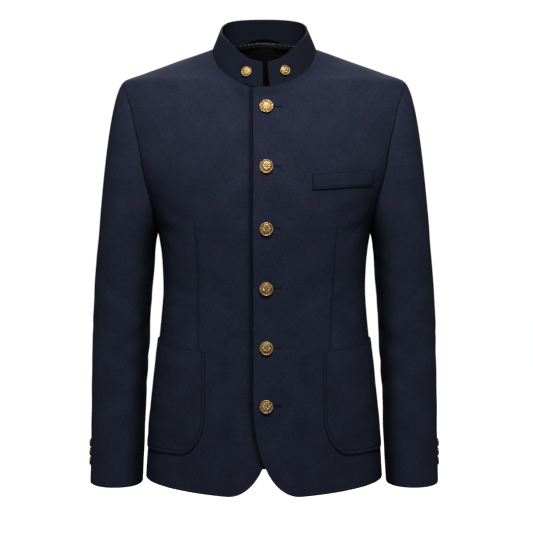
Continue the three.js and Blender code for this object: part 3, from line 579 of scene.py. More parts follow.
def shell(name, points, normals, wall, relief=0.0, depth=0.0, mirror=False,
          materials=(), inside=None, uv=None, fold=0.0, inner_fold=0.0, seams=""):
    """A closed wall of cloth on a grid of points, its edges rolled over as pressed cloth's are.

    The two shade amounts darken the outer and the inner face with painted shade, from 0 to 1;
    painted shade is also laid along the sewn edges.
    seams names the edges that are sewn to other cloth: left, right, foot, top."""
    away, from_left, from_foot = edge_distance(points)
    sewn_away = np.full(away.shape, 1e9)
    for edge, distance in (("left", from_left), ("right", from_left[:, -1:] - from_left),
                           ("foot", from_foot), ("top", from_foot[-1:] - from_foot)):
        if edge in seams:
            sewn_away = np.minimum(sewn_away, distance)
    # painted shade along the sewn edges, in the seams' grooves
    fold = np.maximum(fold, 0.75 * np.exp(-((sewn_away / 1.3) ** 2)))
    short = 1 - np.clip(away / (0.95 * ROLL * wall), 0, 1)
    drop = ROLL * wall / 2 * (1 - np.sqrt(np.maximum(0, 1 - short**2)))
    relief = relief - depth
    outer = points + normals * (relief - drop)[..., None]
    inner = points + normals * (relief - wall + drop)[..., None]
    rows, columns = points.shape[:2]
    index = np.arange(rows * columns).reshape(rows, columns)
    under = index + rows * columns
    faces = []

    def quads(a, b, c, d):
        faces.append(np.stack([a, b, c, d], -1).reshape(-1, 4))

    quads(index[:-1, :-1], index[:-1, 1:], index[1:, 1:], index[1:, :-1])
    quads(under[:-1, :-1], under[1:, :-1], under[1:, 1:], under[:-1, 1:])
    quads(index[0, :-1], under[0, :-1], under[0, 1:], index[0, 1:])
    quads(index[-1, :-1], index[-1, 1:], under[-1, 1:], under[-1, :-1])
    quads(index[:-1, 0], index[1:, 0], under[1:, 0], under[:-1, 0])
    quads(index[:-1, -1], under[:-1, -1], under[1:, -1], index[1:, -1])
    # the first set of faces is the outer one, the second the inner one, and the rest are edges
    lining = np.repeat([k == 1 for k in range(len(faces))], [len(part) for part in faces])
    faces = np.concatenate(faces)
    verts = np.concatenate([outer.reshape(-1, 3), inner.reshape(-1, 3)]) * MM
    if mirror:
        verts[:, 0] *= -1
    a, b, c, d = (verts[faces[:, k]] for k in range(4))
    volume = (a * np.cross(b, c)).sum() + (a * np.cross(c, d)).sum()
    if volume < 0:
        faces = faces[:, ::-1]
    mesh = bpy.data.meshes.new(name)
    mesh.from_pydata(verts.tolist(), [], faces.tolist())
    for material in materials:
        mesh.materials.append(material)
    if inside is not None and len(materials) > 1:
        flat = np.broadcast_to(inside, (rows, columns)).reshape(-1)
        lined = lining & flat[faces.min(1) % (rows * columns)]
        mesh.polygons.foreach_set("material_index", lined.astype(np.int32))
    if uv is None:
        uv = np.stack([from_left, from_foot], -1)
    flat = np.concatenate([uv.reshape(-1, 2)] * 2) * MM
    layer = mesh.uv_layers.new(name="cloth")
    layer.data.foreach_set("uv", flat[faces.reshape(-1)].astype(np.float32).reshape(-1))
    mesh.attributes.new("fold", "FLOAT", "POINT").data.foreach_set("value", np.concatenate(
        [fold.reshape(-1), np.full(rows * columns, inner_fold)]).astype(np.float32))
    mesh.shade_smooth()
    mesh.validate()
    piece = bpy.data.objects.new(name, mesh)
    bpy.context.scene.collection.objects.link(piece)
    return piece


def torso_shell(name, round_, z, wall, across, side="left", **more):
    """A shell on the torso, its pattern laid by distance from a centre line and by height."""
    return shell(name, torso_point(round_, z), torso_normal(round_, z), wall,
                 uv=np.stack([across, z], -1), mirror=side == "right", **more)


def finish_piece(piece, slot, *nodes):
    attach(piece, "root")
    if nodes:
        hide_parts(*nodes)
    return piece


# Materials


def linear(colour):
    """An sRGB hex colour as linear RGBA."""
    parts = [int(colour[i:i + 2], 16) / 255 for i in (1, 3, 5)]
    return (*((c / 12.92 if c <= 0.04045 else ((c + 0.055) / 1.055) ** 2.4) for c in parts), 1.0)


def add(tree, kind, inputs=None, **settings):
    """Adds a node. inputs are values or other nodes' outputs, by socket name or number."""
    node = tree.nodes.new(kind)
    for key, value in settings.items():
        setattr(node, key, value)
    for key, value in (inputs or {}).items():
        socket = node.inputs[key]
        if isinstance(value, bpy.types.NodeSocket):
            tree.links.new(value, socket)
        else:
            socket.default_value = value
    return node


def shaded(name, **sockets):
    """A new material with its shader's plain sockets set. Returns it, its tree and its shader."""
    material = bpy.data.materials.new(name)
    material.use_nodes = True
    tree = material.node_tree
    shader = next(n for n in tree.nodes if n.type == "BSDF_PRINCIPLED")
    for key, value in sockets.items():
        shader.inputs[key.replace("_", " ")].default_value = value
    return material, tree, shader


def ramp(tree, fac, *stops):
    node = add(tree, "ShaderNodeValToRGB", {"Fac": fac})
    points = node.color_ramp.elements
    while len(points) < len(stops):
        points.new(0.5)
    for point, (at, colour) in zip(points, stops):
        point.position, point.color = at, colour
    return node.outputs["Color"]


def wool_flannel():
    """Woven wool, milled and pressed: its nap scatters light, so it is matt, faintly heathered and
    paler where it is seen edge on."""
    cloth = bpy.context.scene.jacket_cloth
    material, tree, shader = shaded(
        "milled wool flannel", Roughness=0.93, Specular_IOR_Level=0.12,
        Sheen_Weight=cloth.sheen, Sheen_Roughness=0.5, Sheen_Tint=linear("#7f88ad"))
    where = add(tree, "ShaderNodeUVMap", uv_map="cloth").outputs["UV"]
    # fibres of two blues: about 1.2 mm flecks, drawn at that size because real ones are too fine
    flecks = add(tree, "ShaderNodeTexNoise",
                 {"Vector": where, "Scale": 650.0, "Detail": 3.0, "Roughness": 0.7})
    shade = add(tree, "ShaderNodeTexNoise", {"Vector": where, "Scale": 22.0, "Detail": 3.0})
    # slubs, thicker stretches of yarn, 4 to 15 mm long both ways: real ones are as long
    threads = [add(tree, "ShaderNodeTexNoise", {
        "Vector": add(tree, "ShaderNodeMapping", {"Vector": where, "Scale": scale}).outputs[0],
        "Scale": 1.0, "Detail": 2.0}).outputs["Fac"]
        for scale in ((110.0, 620.0, 1.0), (620.0, 110.0, 1.0))]
    slubs = add(tree, "ShaderNodeMix", {"Factor": 0.5, "A": threads[0], "B": threads[1]})
    woven = add(tree, "ShaderNodeMix",
                {"Factor": 0.5, "A": flecks.outputs["Fac"], "B": slubs.outputs["Result"]})
    mixed = add(tree, "ShaderNodeMix",
                {"Factor": 0.2, "A": woven.outputs["Result"], "B": shade.outputs["Fac"]})
    tones = ramp(tree, mixed.outputs["Result"],
                 (0.36, tuple(cloth.dark)), (0.5, tuple(cloth.colour)), (0.64, tuple(cloth.light)))
    # dye takes unevenly: hands' breadths of the cloth are a little greener or redder
    drift = add(tree, "ShaderNodeTexNoise", {"Vector": where, "Scale": 34.0, "Detail": 4.0})
    tints = ramp(tree, drift.outputs["Fac"], (0.35, linear("#f3fffd")), (0.65, linear("#fff6ff")))
    dyed = add(tree, "ShaderNodeMix", {0: 1.0, 6: tones, 7: tints}, data_type="RGBA",
               blend_type="MULTIPLY")
    # painted shade where little light gets in: seams, darts, creases, buttonholes, beside the lap,
    # the collar, the loop, the pockets and the sleeves' inner sides are darkened by the shade
    # attribute
    fold = add(tree, "ShaderNodeAttribute", attribute_name="fold")
    deep = tuple(share * c for share, c in zip((0.12, 0.2, 0.24), cloth.dark)) + (1.0,)
    folded = add(tree, "ShaderNodeMix",
                 {0: fold.outputs["Fac"], 6: dyed.outputs[2], 7: deep}, data_type="RGBA")
    tree.links.new(folded.outputs[2], shader.inputs["Base Color"])
    # the twill's ridges are 0.6 mm apart on the real cloth and are drawn 1.6 mm apart to show
    ridges = add(tree, "ShaderNodeTexWave",
                 {"Vector": where, "Scale": 278.0, "Distortion": 1.2, "Detail": 2.0,
                  "Detail Scale": 1.5}, bands_direction="DIAGONAL")
    height = add(tree, "ShaderNodeMix",
                 {"Factor": 0.6, "A": ridges.outputs["Fac"], "B": flecks.outputs["Fac"]})
    bump = add(tree, "ShaderNodeBump",
               {"Strength": 0.35, "Distance": 0.0006, "Height": height.outputs["Result"]})
    tree.links.new(bump.outputs["Normal"], shader.inputs["Normal"])
    return material


def lining_satin():
    """Viscose satin, woven with long floats: smooth, near black, with a soft streaky sheen."""
    lining = bpy.context.scene.jacket_cloth.lining
    material, tree, shader = shaded(
        "viscose lining satin", Roughness=0.45, Anisotropic=0.5, Specular_IOR_Level=0.3,
        Sheen_Weight=0.05, Sheen_Roughness=0.3)
    where = add(tree, "ShaderNodeUVMap", uv_map="cloth").outputs["UV"]
    drawn = add(tree, "ShaderNodeMapping", {"Vector": where, "Scale": (1500.0, 60.0, 1.0)})
    floats = add(tree, "ShaderNodeTexNoise", {"Vector": drawn.outputs["Vector"], "Scale": 1.0})
    deep = tuple(0.6 * c for c in lining[:3]) + (1.0,)
    tones = ramp(tree, floats.outputs["Fac"], (0.35, deep), (0.7, tuple(lining)))
    tree.links.new(tones, shader.inputs["Base Color"])
    bump = add(tree, "ShaderNodeBump",
               {"Strength": 0.15, "Distance": 0.0003, "Height": floats.outputs["Fac"]})
    tree.links.new(bump.outputs["Normal"], shader.inputs["Normal"])
    return material


def binding_satin():
    """Grey satin tape that covers the raw edge inside the neck."""
    tape = bpy.context.scene.jacket_cloth.tape
    material, tree, shader = shaded("satin binding tape", Roughness=0.38, Sheen_Weight=0.1)
    where = add(tree, "ShaderNodeTexCoord").outputs["Object"]
    floats = add(tree, "ShaderNodeTexNoise", {"Vector": where, "Scale": 300.0, "Detail": 3.0})
    deep = tuple(0.25 * c for c in tape[:3]) + (1.0,)
    tones = ramp(tree, floats.outputs["Fac"], (0.35, deep), (0.65, tuple(tape)))
    tree.links.new(tones, shader.inputs["Base Color"])
    bump = add(tree, "ShaderNodeBump",
               {"Strength": 0.2, "Distance": 0.0004, "Height": floats.outputs["Fac"]})
    tree.links.new(bump.outputs["Normal"], shader.inputs["Normal"])
    return material


def polyester_thread():
    """Twisted polyester sewing thread: a little shinier and darker than the cloth."""
    material, tree, shader = shaded(
        "twisted sewing thread", Roughness=0.7, Specular_IOR_Level=0.2)
    where = add(tree, "ShaderNodeTexCoord").outputs["Object"]
    twist = add(tree, "ShaderNodeTexNoise", {"Vector": where, "Scale": 900.0})
    shades = [tuple(share * c for c in bpy.context.scene.jacket_cloth.dark[:3]) + (1.0,)
              for share in (0.25, 0.55)]
    tones = ramp(tree, twist.outputs["Fac"], (0.35, shades[0]), (0.65, shades[1]))
    tree.links.new(tones, shader.inputs["Base Color"])
    return material


def gilt_brass():
    """Struck brass, gilt and polished: bright on its raised parts, browner where polish stays in
    the hollows."""
    buttons = bpy.context.scene.jacket_buttons
    material, tree, shader = shaded("struck gilt brass", Metallic=1.0)
    where = add(tree, "ShaderNodeTexCoord").outputs["Object"]
    hollow = add(tree, "ShaderNodeAttribute", attribute_name="hollow")
    wear = add(tree, "ShaderNodeTexNoise", {"Vector": where, "Scale": 420.0, "Detail": 4.0})
    spread = add(tree, "ShaderNodeMath",
                 {0: hollow.outputs["Fac"], 1: wear.outputs["Fac"]}, operation="MULTIPLY_ADD")
    spread.inputs[2].default_value = 0.0
    tones = ramp(tree, spread.outputs[0],
                 (0.02, tuple(buttons.gilt)), (0.4, tuple(buttons.patina)))
    tree.links.new(tones, shader.inputs["Base Color"])
    rough = add(tree, "ShaderNodeMapRange",
                {"Value": wear.outputs["Fac"], "From Min": 0.3, "From Max": 0.7, "To Min": 0.38,
                 "To Max": 0.52})
    tree.links.new(rough.outputs["Result"], shader.inputs["Roughness"])
    bump = add(tree, "ShaderNodeBump",
               {"Strength": 0.12, "Distance": 0.0002, "Height": wear.outputs["Fac"]})
    tree.links.new(bump.outputs["Normal"], shader.inputs["Normal"])
    return material


def studio_paper():
    """White backdrop paper: matt, with a barely visible tooth."""
    material, tree, shader = shaded(
        "white backdrop paper", Roughness=0.95, Emission_Color=linear("#ffffff"),
        Emission_Strength=0.97)
    where = add(tree, "ShaderNodeTexCoord").outputs["Object"]
    tooth = add(tree, "ShaderNodeTexNoise", {"Vector": where, "Scale": 40.0, "Detail": 4.0})
    tones = ramp(tree, tooth.outputs["Fac"], (0.3, linear("#f4f4f3")), (0.7, linear("#fbfbfa")))
    tree.links.new(tones, shader.inputs["Base Color"])
    return material


MAKERS = {
    "wool": wool_flannel, "satin": lining_satin, "thread": polyester_thread,
    "brass": gilt_brass, "paper": studio_paper, "tape": binding_satin,
}
made = {}


def finish_of(name):
    if name not in made:
        made[name] = MAKERS[name]()
    return made[name]


# Sewing and relief that repeat, laid out by geometry nodes


def new_tree(name, *sockets):
    tree = bpy.data.node_groups.new(name, "GeometryNodeTree")
    tree.interface.new_socket("Geometry", in_out="INPUT", socket_type="NodeSocketGeometry")
    for title, kind, value in sockets:
        socket = tree.interface.new_socket(title, in_out="INPUT", socket_type="NodeSocket" + kind)
        if value is not None:
            socket.default_value = value
    tree.interface.new_socket("Geometry", in_out="OUTPUT", socket_type="NodeSocketGeometry")
    return tree, add(tree, "NodeGroupInput").outputs


def end_tree(tree, geometry, material):
    real = add(tree, "GeometryNodeRealizeInstances", {0: geometry})
    soft = add(tree, "GeometryNodeSetShadeSmooth", {0: real.outputs[0]})
    dressed = add(tree, "GeometryNodeSetMaterial", {0: soft.outputs[0], "Material": material})
    add(tree, "NodeGroupOutput", {0: dressed.outputs[0]})
    return tree


def stitch_tree():
    """Stitches spaced along a path, each a short length of thread, along the path or across it."""
    tree, given = new_tree(
        "stitches along a path", ("Spacing", "Float", 3.2 * MM), ("Length", "Float", 2.6 * MM),
        ("Thread", "Float", 0.5 * MM), ("Across", "Bool", False), ("Seed", "Int", 7),
        ("Material", "Material", None))
    path = add(tree, "GeometryNodeMeshToCurve", {0: given["Geometry"]})
    spaced = add(tree, "GeometryNodeResampleCurve",
                 {"Curve": path.outputs[0], "Length": given["Spacing"]}, mode="LENGTH")
    across = add(tree, "GeometryNodeInputNamedAttribute", {"Name": "across"},
                 data_type="FLOAT_VECTOR")
    lie = add(tree, "GeometryNodeSwitch",
              {"Switch": given["Across"], "False": add(tree, "GeometryNodeInputTangent").outputs[0],
               "True": across.outputs[0]}, input_type="VECTOR")
    turn = add(tree, "FunctionNodeAlignRotationToVector", {"Vector": lie.outputs[0]}, axis="Z")
    drawn = add(tree, "FunctionNodeRandomValue",
                {"Seed": given["Seed"]}, data_type="FLOAT")
    # a random value has one pair of sockets for each kind: floats come third and fourth
    drawn.inputs[2].default_value, drawn.inputs[3].default_value = 0.86, 1.06
    long_ = add(tree, "ShaderNodeMath", {0: given["Length"], 1: drawn.outputs[1]},
                operation="MULTIPLY")
    scale = add(tree, "ShaderNodeCombineXYZ",
                {"X": given["Thread"], "Y": given["Thread"], "Z": long_.outputs[0]})
    thread = add(tree, "GeometryNodeMeshUVSphere", {"Segments": 6, "Rings": 5, "Radius": 0.5})
    laid = add(tree, "GeometryNodeInstanceOnPoints",
               {"Points": spaced.outputs[0], "Instance": thread.outputs[0],
                "Rotation": turn.outputs[0], "Scale": scale.outputs[0]})
    return end_tree(tree, laid.outputs[0], given["Material"])


def button_tree():
    """The relief struck on a button: a ring of beads, two rings of petals and a boss."""
    tree, given = new_tree(
        "beads and rosette", ("Radius", "Float", 10 * MM), ("Bead Height", "Float", 3 * MM),
        ("Petal Height", "Float", 4 * MM), ("Beads", "Int", 36), ("Petals", "Int", 8),
        ("Material", "Material", None))

    def times(value, factor):
        return add(tree, "ShaderNodeMath", {0: value, 1: factor}, operation="MULTIPLY").outputs[0]

    def ring(count, reach, height, size, turned=0.0):
        circle = add(tree, "GeometryNodeMeshCircle",
                     {"Vertices": count, "Radius": times(given["Radius"], reach)})
        up = add(tree, "ShaderNodeCombineXYZ", {"Z": height})
        placed = add(tree, "GeometryNodeTransform",
                     {0: circle.outputs[0], "Translation": up.outputs[0],
                      "Rotation": (0.0, 0.0, turned)})
        place = add(tree, "GeometryNodeInputPosition")
        flat = add(tree, "ShaderNodeVectorMath",
                   {0: place.outputs[0], 1: (1.0, 1.0, 0.0)}, operation="MULTIPLY")
        turn = add(tree, "FunctionNodeAlignRotationToVector", {"Vector": flat.outputs[0]}, axis="X")
        bead = add(tree, "GeometryNodeMeshUVSphere", {"Segments": 10, "Rings": 6, "Radius": 1.0})
        scale = add(tree, "ShaderNodeVectorMath", {0: size, "Scale": given["Radius"]},
                    operation="SCALE")
        return add(tree, "GeometryNodeInstanceOnPoints",
                   {"Points": placed.outputs[0], "Instance": bead.outputs[0],
                    "Rotation": turn.outputs[0], "Scale": scale.outputs[0]}).outputs[0]

    parts = [
        given["Geometry"],
        ring(given["Beads"], 0.81, given["Bead Height"], (0.055, 0.055, 0.06)),
        ring(given["Petals"], 0.43, given["Petal Height"], (0.2, 0.1, 0.07)),
        ring(given["Petals"], 0.52, times(given["Petal Height"], 0.955), (0.13, 0.055, 0.06),
             math.pi / 8),
        ring(given["Petals"], 0.12, times(given["Petal Height"], 1.045), (0.06, 0.045, 0.06)),
    ]
    joined_parts = add(tree, "GeometryNodeJoinGeometry")
    for part in parts:
        tree.links.new(part, joined_parts.inputs[0])
    return end_tree(tree, joined_parts.outputs[0], given["Material"])


TREES = {"stitches": stitch_tree, "button": button_tree}
trees = {}


def grown(name, mesh, kind, **inputs):
    """The plain mesh that a tree of nodes makes of a mesh."""
    if kind not in trees:
        trees[kind] = TREES[kind]()
    seed = bpy.data.objects.new(name, mesh)
    bpy.context.scene.collection.objects.link(seed)
    modifier = seed.modifiers.new(kind, "NODES")
    modifier.node_group = trees[kind]
    for socket in trees[kind].interface.items_tree:
        key = socket.name.replace(" ", "_")
        if socket.item_type == "SOCKET" and socket.in_out == "INPUT" and key in inputs:
            modifier[socket.identifier] = inputs[key]
    depsgraph = bpy.context.evaluated_depsgraph_get()
    result = bpy.data.meshes.new_from_object(seed.evaluated_get(depsgraph))
    result.name = name
    seed.modifiers.clear()
    seed.data = result
    return seed


def sewn(name, paths, slot="wool_cloth", **inputs):
    """Stitches along paths. A path is its points in millimetres, with directions across it."""
    verts, across, edges = [], [], []
    for points, sideways in paths:
        first = len(verts)
        verts += (np.asarray(points) * MM).tolist()
        across += np.asarray(sideways).tolist()
        edges += [(k, k + 1) for k in range(first, len(verts) - 1)]
    mesh = bpy.data.meshes.new(name + "_path")
    mesh.from_pydata(verts, edges, [])
    mesh.attributes.new("across", "FLOAT_VECTOR", "POINT").data.foreach_set(
        "vector", np.array(across, np.float32).reshape(-1))
    piece = grown(name, mesh, "stitches", Material=finish_of("thread"), **inputs)
    return finish_piece(piece, slot)


def mirrored(points):
    return np.asarray(points) * (-1, 1, 1)


# Fronts

# start and end as (distance from the centre front, height), then half width, depth and bow
LEFT_FRONT_CREASES = [
    ((176, -232), (96, -262), 9, 0.7, 6), ((186, -262), (120, -322), 10, 0.8, -8),
    ((150, -372), (96, -392), 8, 1.0, 4), ((168, -410), (104, -398), 8, 0.9, -5),
    ((64, -430), (52, -640), 22, 1.2, 6), ((128, -640), (150, -690), 14, 1.0, 0),
    ((-12, -75), (36, -66), 5, 2.6, 2), ((60, -64), (120, -92), 9, 0.7, 4),
]
RIGHT_FRONT_CREASES = [
    ((180, -226), (104, -270), 9, 0.8, 7), ((190, -276), (126, -316), 9, 0.6, -7),
    ((160, -366), (88, -384), 9, 1.1, 5), ((170, -404), (112, -402), 7, 0.8, -4),
    ((72, -420), (60, -650), 20, 1.2, -6), ((140, -636), (120, -690), 13, 1.0, 4),
    ((62, -44), (14, -84), 6, 2.8, 3), ((66, -62), (112, -86), 8, 0.7, -4),
]
DARTS = {
    "left": [(118.6, -265), (113.5, -325), (109.5, -392), (104.5, -466)],
    "right": [(110.5, -260), (107, -334), (106.5, -395), (105, -466)],
}


def lap_depth(side, distance):
    clear = LAP + LAP_CLEAR
    return 0 if side == "left" else LAP_STEP * (1 - smooth(distance, clear, clear + LAP_BLEND))


LAP_TURN = np.pi / 2 * HUNDRED[::-1]
LAP_EDGE = tuple(cutaway(LAP_TURN))  # the left front's edge below its straight part, by height


def beside_lap(side, across, z):
    """How far a place on the right front lies outside the left front's edge, or on the left one
    inside it, and how near it is to the straight part of that edge."""
    edge = np.interp(z, LAP_EDGE[1], LAP_EDGE[0])
    upper = smooth(z, -640, -560) * (1 - smooth(z, -66, -56))
    return (across - edge if side == "left" else across + edge), upper


def lap_relief(side, across, z):
    """The left front's edge stands off the right front, which dips beside it."""
    away, upper = beside_lap(side, across, z)
    if side == "left":
        return 1.2 * (1 - smooth(away, 0, 12)) * upper
    return -2.4 * np.exp(-(((away - 2) / 6) ** 2)) * upper


def front_creases(side):
    return LEFT_FRONT_CREASES if side == "left" else RIGHT_FRONT_CREASES


def slit_away(across, z, height):
    """Distance to the buttonhole at a height."""
    return np.hypot(np.maximum(np.abs(across - SLIT_MIDDLE) - SLIT_HALF, 0), z - height)


def front_fold(side, across, z):
    """The shade in darts, in deep creases, beside the left front's edge and in buttonholes."""
    away, _ = beside_lap(side, across, z)
    dart, share = line_away(across, z, DARTS[side])
    ends = smooth(share, 0, 0.12)
    total = 0.6 * ends * np.exp(-((dart / 1.1) ** 2)) + 0.1 * np.exp(-((dart / 3) ** 2))
    total = np.maximum(total, 0.17 * np.clip(-creases(across, z, front_creases(side)) - 0.5, 0, 2))
    if side == "right":
        soft = smooth(z, -680, -640)
        beside = 0.68 * (1 - smooth(away, 4.5, 10)) + 0.08 * (1 - smooth(away, 8, 22))
        return np.maximum(total, soft * beside)
    for height in BUTTON_HEIGHTS:
        slit = slit_away(across, z, height)
        total = np.maximum(total, 0.97 * np.exp(-((slit / 1.25) ** 2)))
    return total


def front_relief(side, across, z):
    total = creases(across, z, front_creases(side))
    away, share = line_away(across, z, DARTS[side])
    ends = np.sin(np.pi * np.clip(share, 0.02, 0.98)) ** 0.5
    total += (0.35 + 0.65 * ends) * groove(away, 0.85, 1.0) + ends * groove(away, 9, 0.8)
    total += waver(across, z, 3 if side == "left" else 4, 90, 0.3)
    total += lap_relief(side, across, z)
    if side == "left":
        for height in BUTTON_HEIGHTS:
            pull = np.exp(-(((z - height) / 9) ** 2) - ((across - 6) / 24) ** 2)
            total -= 0.5 * pull
            total += groove(slit_away(across, z, height), 0.8, 0.9)
    return total


def front_place(side, distance, z, out=0.0):
    """Points a little way out from a front, before they are mirrored for the right side."""
    distance, z = np.broadcast_arrays(np.asarray(distance, float), np.asarray(z, float))
    round_ = round_at(distance, z, FRONT)
    relief = front_relief(side, distance, z) - lap_depth(side, distance)
    return torso_point(round_, z) + torso_normal(round_, z) * (relief + out)[..., None]


LAP_SHARE = 0.955  # of the way across a front's grid, where the other front's edge lies
LINED_FROM = 88  # the facing's width: beyond it the front's inner face is satin


def make_front(side):
    v, s = crowded(150, 640), crowded(78, 300)
    # more steps where a dart, a buttonhole or the lap is
    round_, z = front_grid(v, s)
    across = distance_at(round_, z, FRONT)
    darted = s[(line_away(across, z, DARTS[side])[0] < 2.5).any(0)]
    marks = np.append(np.arange(darted.min(), darted.max() + 0.004, 0.006), LAP_SHARE)
    s = thickened(s, marks, 0.004, 0.0027)
    if side == "left":
        heights = [np.interp(20, row[::-1], high[::-1]) for row, high in zip(across, z)]
        v = thickened(v, np.interp(BUTTON_HEIGHTS, heights, v), 0.0048, 0.0012)
    round_, z = front_grid(v, s)
    across = distance_at(round_, z, FRONT)
    points = torso_point(round_, z)
    _, _, from_foot = edge_distance(points)
    # painted shade on the fronts just below the collar
    below = np.exp(-(((from_foot[-1:] - from_foot) / 16) ** 2)) * (1 - smooth(across, 40, 105))
    return torso_shell(
        f"front_{side}_cloth", round_, z, BODY_WALL, across, side,
        relief=settled(front_relief(side, across, z), points), depth=lap_depth(side, across),
        materials=(finish_of("wool"), finish_of("satin")), inside=across > LINED_FROM,
        fold=np.maximum(front_fold(side, across, z), 0.34 * below), seams="left top")


# Back and its lining

BACK_FOLDS = [(118, -150, -330, 26, 2.6), (64, -330, -520, 30, 1.8)]  # as in the solids
BACK_CREASES = {  # as the fronts', from the centre back
    "left": [((150, -372), (60, -392), 9, 1.3, 5), ((156, -404), (84, -414), 8, 1.4, -5),
             ((60, -60), (128, -84), 10, 1.3, 5), ((30, -560), (46, -680), 16, 1.4, 4)],
    "right": [((158, -364), (72, -388), 10, 1.3, -5), ((150, -410), (66, -402), 8, 1.5, 4),
              ((52, -66), (120, -80), 9, 1.3, -4), ((70, -540), (58, -676), 18, 1.3, -5)],
}


def back_fold(across, z):
    total = np.zeros_like(z)
    for place, top, low, half, deep in BACK_FOLDS:
        ends = np.sin(np.pi * np.clip((z - low) / (top - low), 0, 1))
        total = total - deep * ends * np.exp(-(((across - place) / half) ** 2))
    return total


def back_relief(side, across, z):
    waved = waver(across, z, 5 if side == "left" else 6, 100, 0.6)
    return back_fold(across, z) + creases(across, z, BACK_CREASES[side]) + waved


def make_back(side):
    v, s = crowded(165, 680), crowded(80, 230)
    round_, z = back_grid(v, s)
    across = distance_at(round_, z, BACK)
    relief = settled(back_relief(side, across, z), torso_point(round_, z))
    return torso_shell(f"back_{side}_cloth", round_, z, BODY_WALL, across, side, relief=relief,
                       materials=(finish_of("wool"),), seams="left right top")


def make_lining(side):
    v, s = crowded(110, 640), crowded(54, 210)
    round_, z = back_grid(lerp(1 / 21, 1, v), lerp(1 / 9, 1, s))
    z = z - LINING_TOP * smooth(v, 0.985, 1)[:, None]
    across = distance_at(round_, z, BACK)
    top = smooth(v, 0.95, 1)[:, None]
    pucker = 0.35 * top * np.sin(across / 11.3 * 2 * np.pi + np.sin(across / 7))
    return torso_shell(f"lining_{side}_satin", round_, z, LINING_WALL, across, side,
                       relief=back_relief(side, across, z) - pucker,
                       depth=BODY_WALL + LINING_DEPTH, materials=(finish_of("satin"),))


# Sleeves

# angle, slope, height, half height, reach in degrees, depth; the first three are the solids' folds,
# half as deep and 2 mm wider to each side
SLEEVE_FOLDS = [
    (62, 26, -420, 11, 46, 1.2), (50, -22, -462, 13, 52, 1.5), (66, 18, -505, 12, 40, 1.0),
    (100, 20, -385, 10, 40, 0.7), (150, -16, -438, 9, 44, 0.7), (20, 14, -530, 9, 40, 0.8),
    (40, -20, -345, 12, 46, 0.9), (300, 16, -440, 9, 50, 1.5), (320, -14, -485, 9, 46, 1.3),
    (230, 12, -410, 8, 44, 0.9), (80, 12, -560, 11, 44, 0.5), (70, -16, -600, 10, 40, 0.5),
]


def sleeve_relief(side, angle, z, down):
    degrees = np.degrees(angle)
    shift = 0 if side == "left" else 9
    total = np.zeros_like(z)
    for at, slope, height, half, reach, deep in SLEEVE_FOLDS:
        away = (degrees - at + 180) % 360 - 180
        turned = away / reach
        across = (z - height - shift - slope * turned) / half
        total = total - deep * np.exp(-(turned**2)) * (
            np.exp(-(across**2)) - 0.35 * np.exp(-((np.abs(across) - 2) ** 2)))
    around = angle * SLEEVE_RADIUS
    waved = waver(around, z, 8 if side == "left" else 9, 80, 0.4)
    return (total + waved) * smooth(down, 0.5, 1.1)


def sleeve_fold(angle, down):
    """The sleeve's inner side hangs against the body, in its shade."""
    turned = np.abs((np.degrees(angle) + 180) % 360 - 180)
    return lerp(0.97, 0.88, smooth(down, 0.6, 1.3)) * (1 - smooth(turned, 28, 70))


def make_sleeve(half, side):
    ends = ("front", "back") if half == "upper" else ("back", "front")
    downs = np.concatenate([
        crowded(70, 230)[:-5] ** 1.25, 1 + crowded(110, 374)[5:]])
    t = crowded(76 if half == "upper" else 52, 190 if half == "upper" else 120)
    down, t = downs[:, None] + 0 * t, t[None, :] + 0 * downs[:, None]
    angle = sleeve_angle(*ends, t, down)
    points = sleeve_surface(angle, down)
    around = angle * SLEEVE_RADIUS
    return shell(
        f"sleeve_{half}_{side}_cloth", points, sleeve_normal(angle, down), SLEEVE_WALL,
        relief=sleeve_relief(side, angle, points[..., 2], down), mirror=side == "right",
        materials=(finish_of("wool"), finish_of("satin")),
        inside=points[..., 2] > SLEEVE_CUFF + 26, uv=np.stack([around, points[..., 2]], -1),
        # painted shade on the sleeve's inner side, which hangs against the body
        fold=sleeve_fold(angle, down), seams="left right foot")


# Collar and hanging loop


def make_collar():
    shares, columns = crowded(26, 55), crowded(240, 460)
    shares = lerp(-COLLAR_TUCK, 1, shares)
    share = shares[:, None] + 0 * columns
    start, stop = collar_end("left", shares), collar_end("right", shares) - 2 * np.pi
    angle = lerp(start[:, None], stop[:, None], columns[None])
    points = collar_surface(angle, share)
    away, _, _ = edge_distance(points)
    relief = collar_relief(angle, share) + groove(away - COLLAR_STITCHED, 0.9, 0.3)
    pattern = np.stack([angle * COLLAR_RADIUS, share * COLLAR_HEIGHT], -1)
    # painted shade: the collar's outer face, and its inner face more, are darkened all over
    return shell("collar_cloth", points, collar_normal(angle, share), COLLAR_WALL, relief=relief,
                 materials=(finish_of("wool"),), uv=pattern,
                 fold=0.6 * np.ones(share.shape), inner_fold=0.68, seams="foot")


def collar_seam():
    """The path of the stitches round the collar's ends and top edge."""
    low, high, end = 0.05, 1 - COLLAR_STITCHED / 47, COLLAR_STITCHED / 420
    share = np.concatenate([np.linspace(low, high, 30), np.full(300, high),
                            np.linspace(high, low, 30)])
    column = np.concatenate([np.full(30, end), np.linspace(end, 1 - end, 300),
                             np.full(30, 1 - end)])
    angle = lerp(collar_end("left", share), collar_end("right", share) - 2 * np.pi, column)
    normal = collar_normal(angle, share)
    out = collar_relief(angle, share) - 0.15
    return collar_surface(angle, share) + normal * out[:, None], np.tile((0, 0, 1), (360, 1))


def collar_relief(angle, share):
    return waver(angle * COLLAR_RADIUS, share * COLLAR_HEIGHT, 12, 60, 0.3)


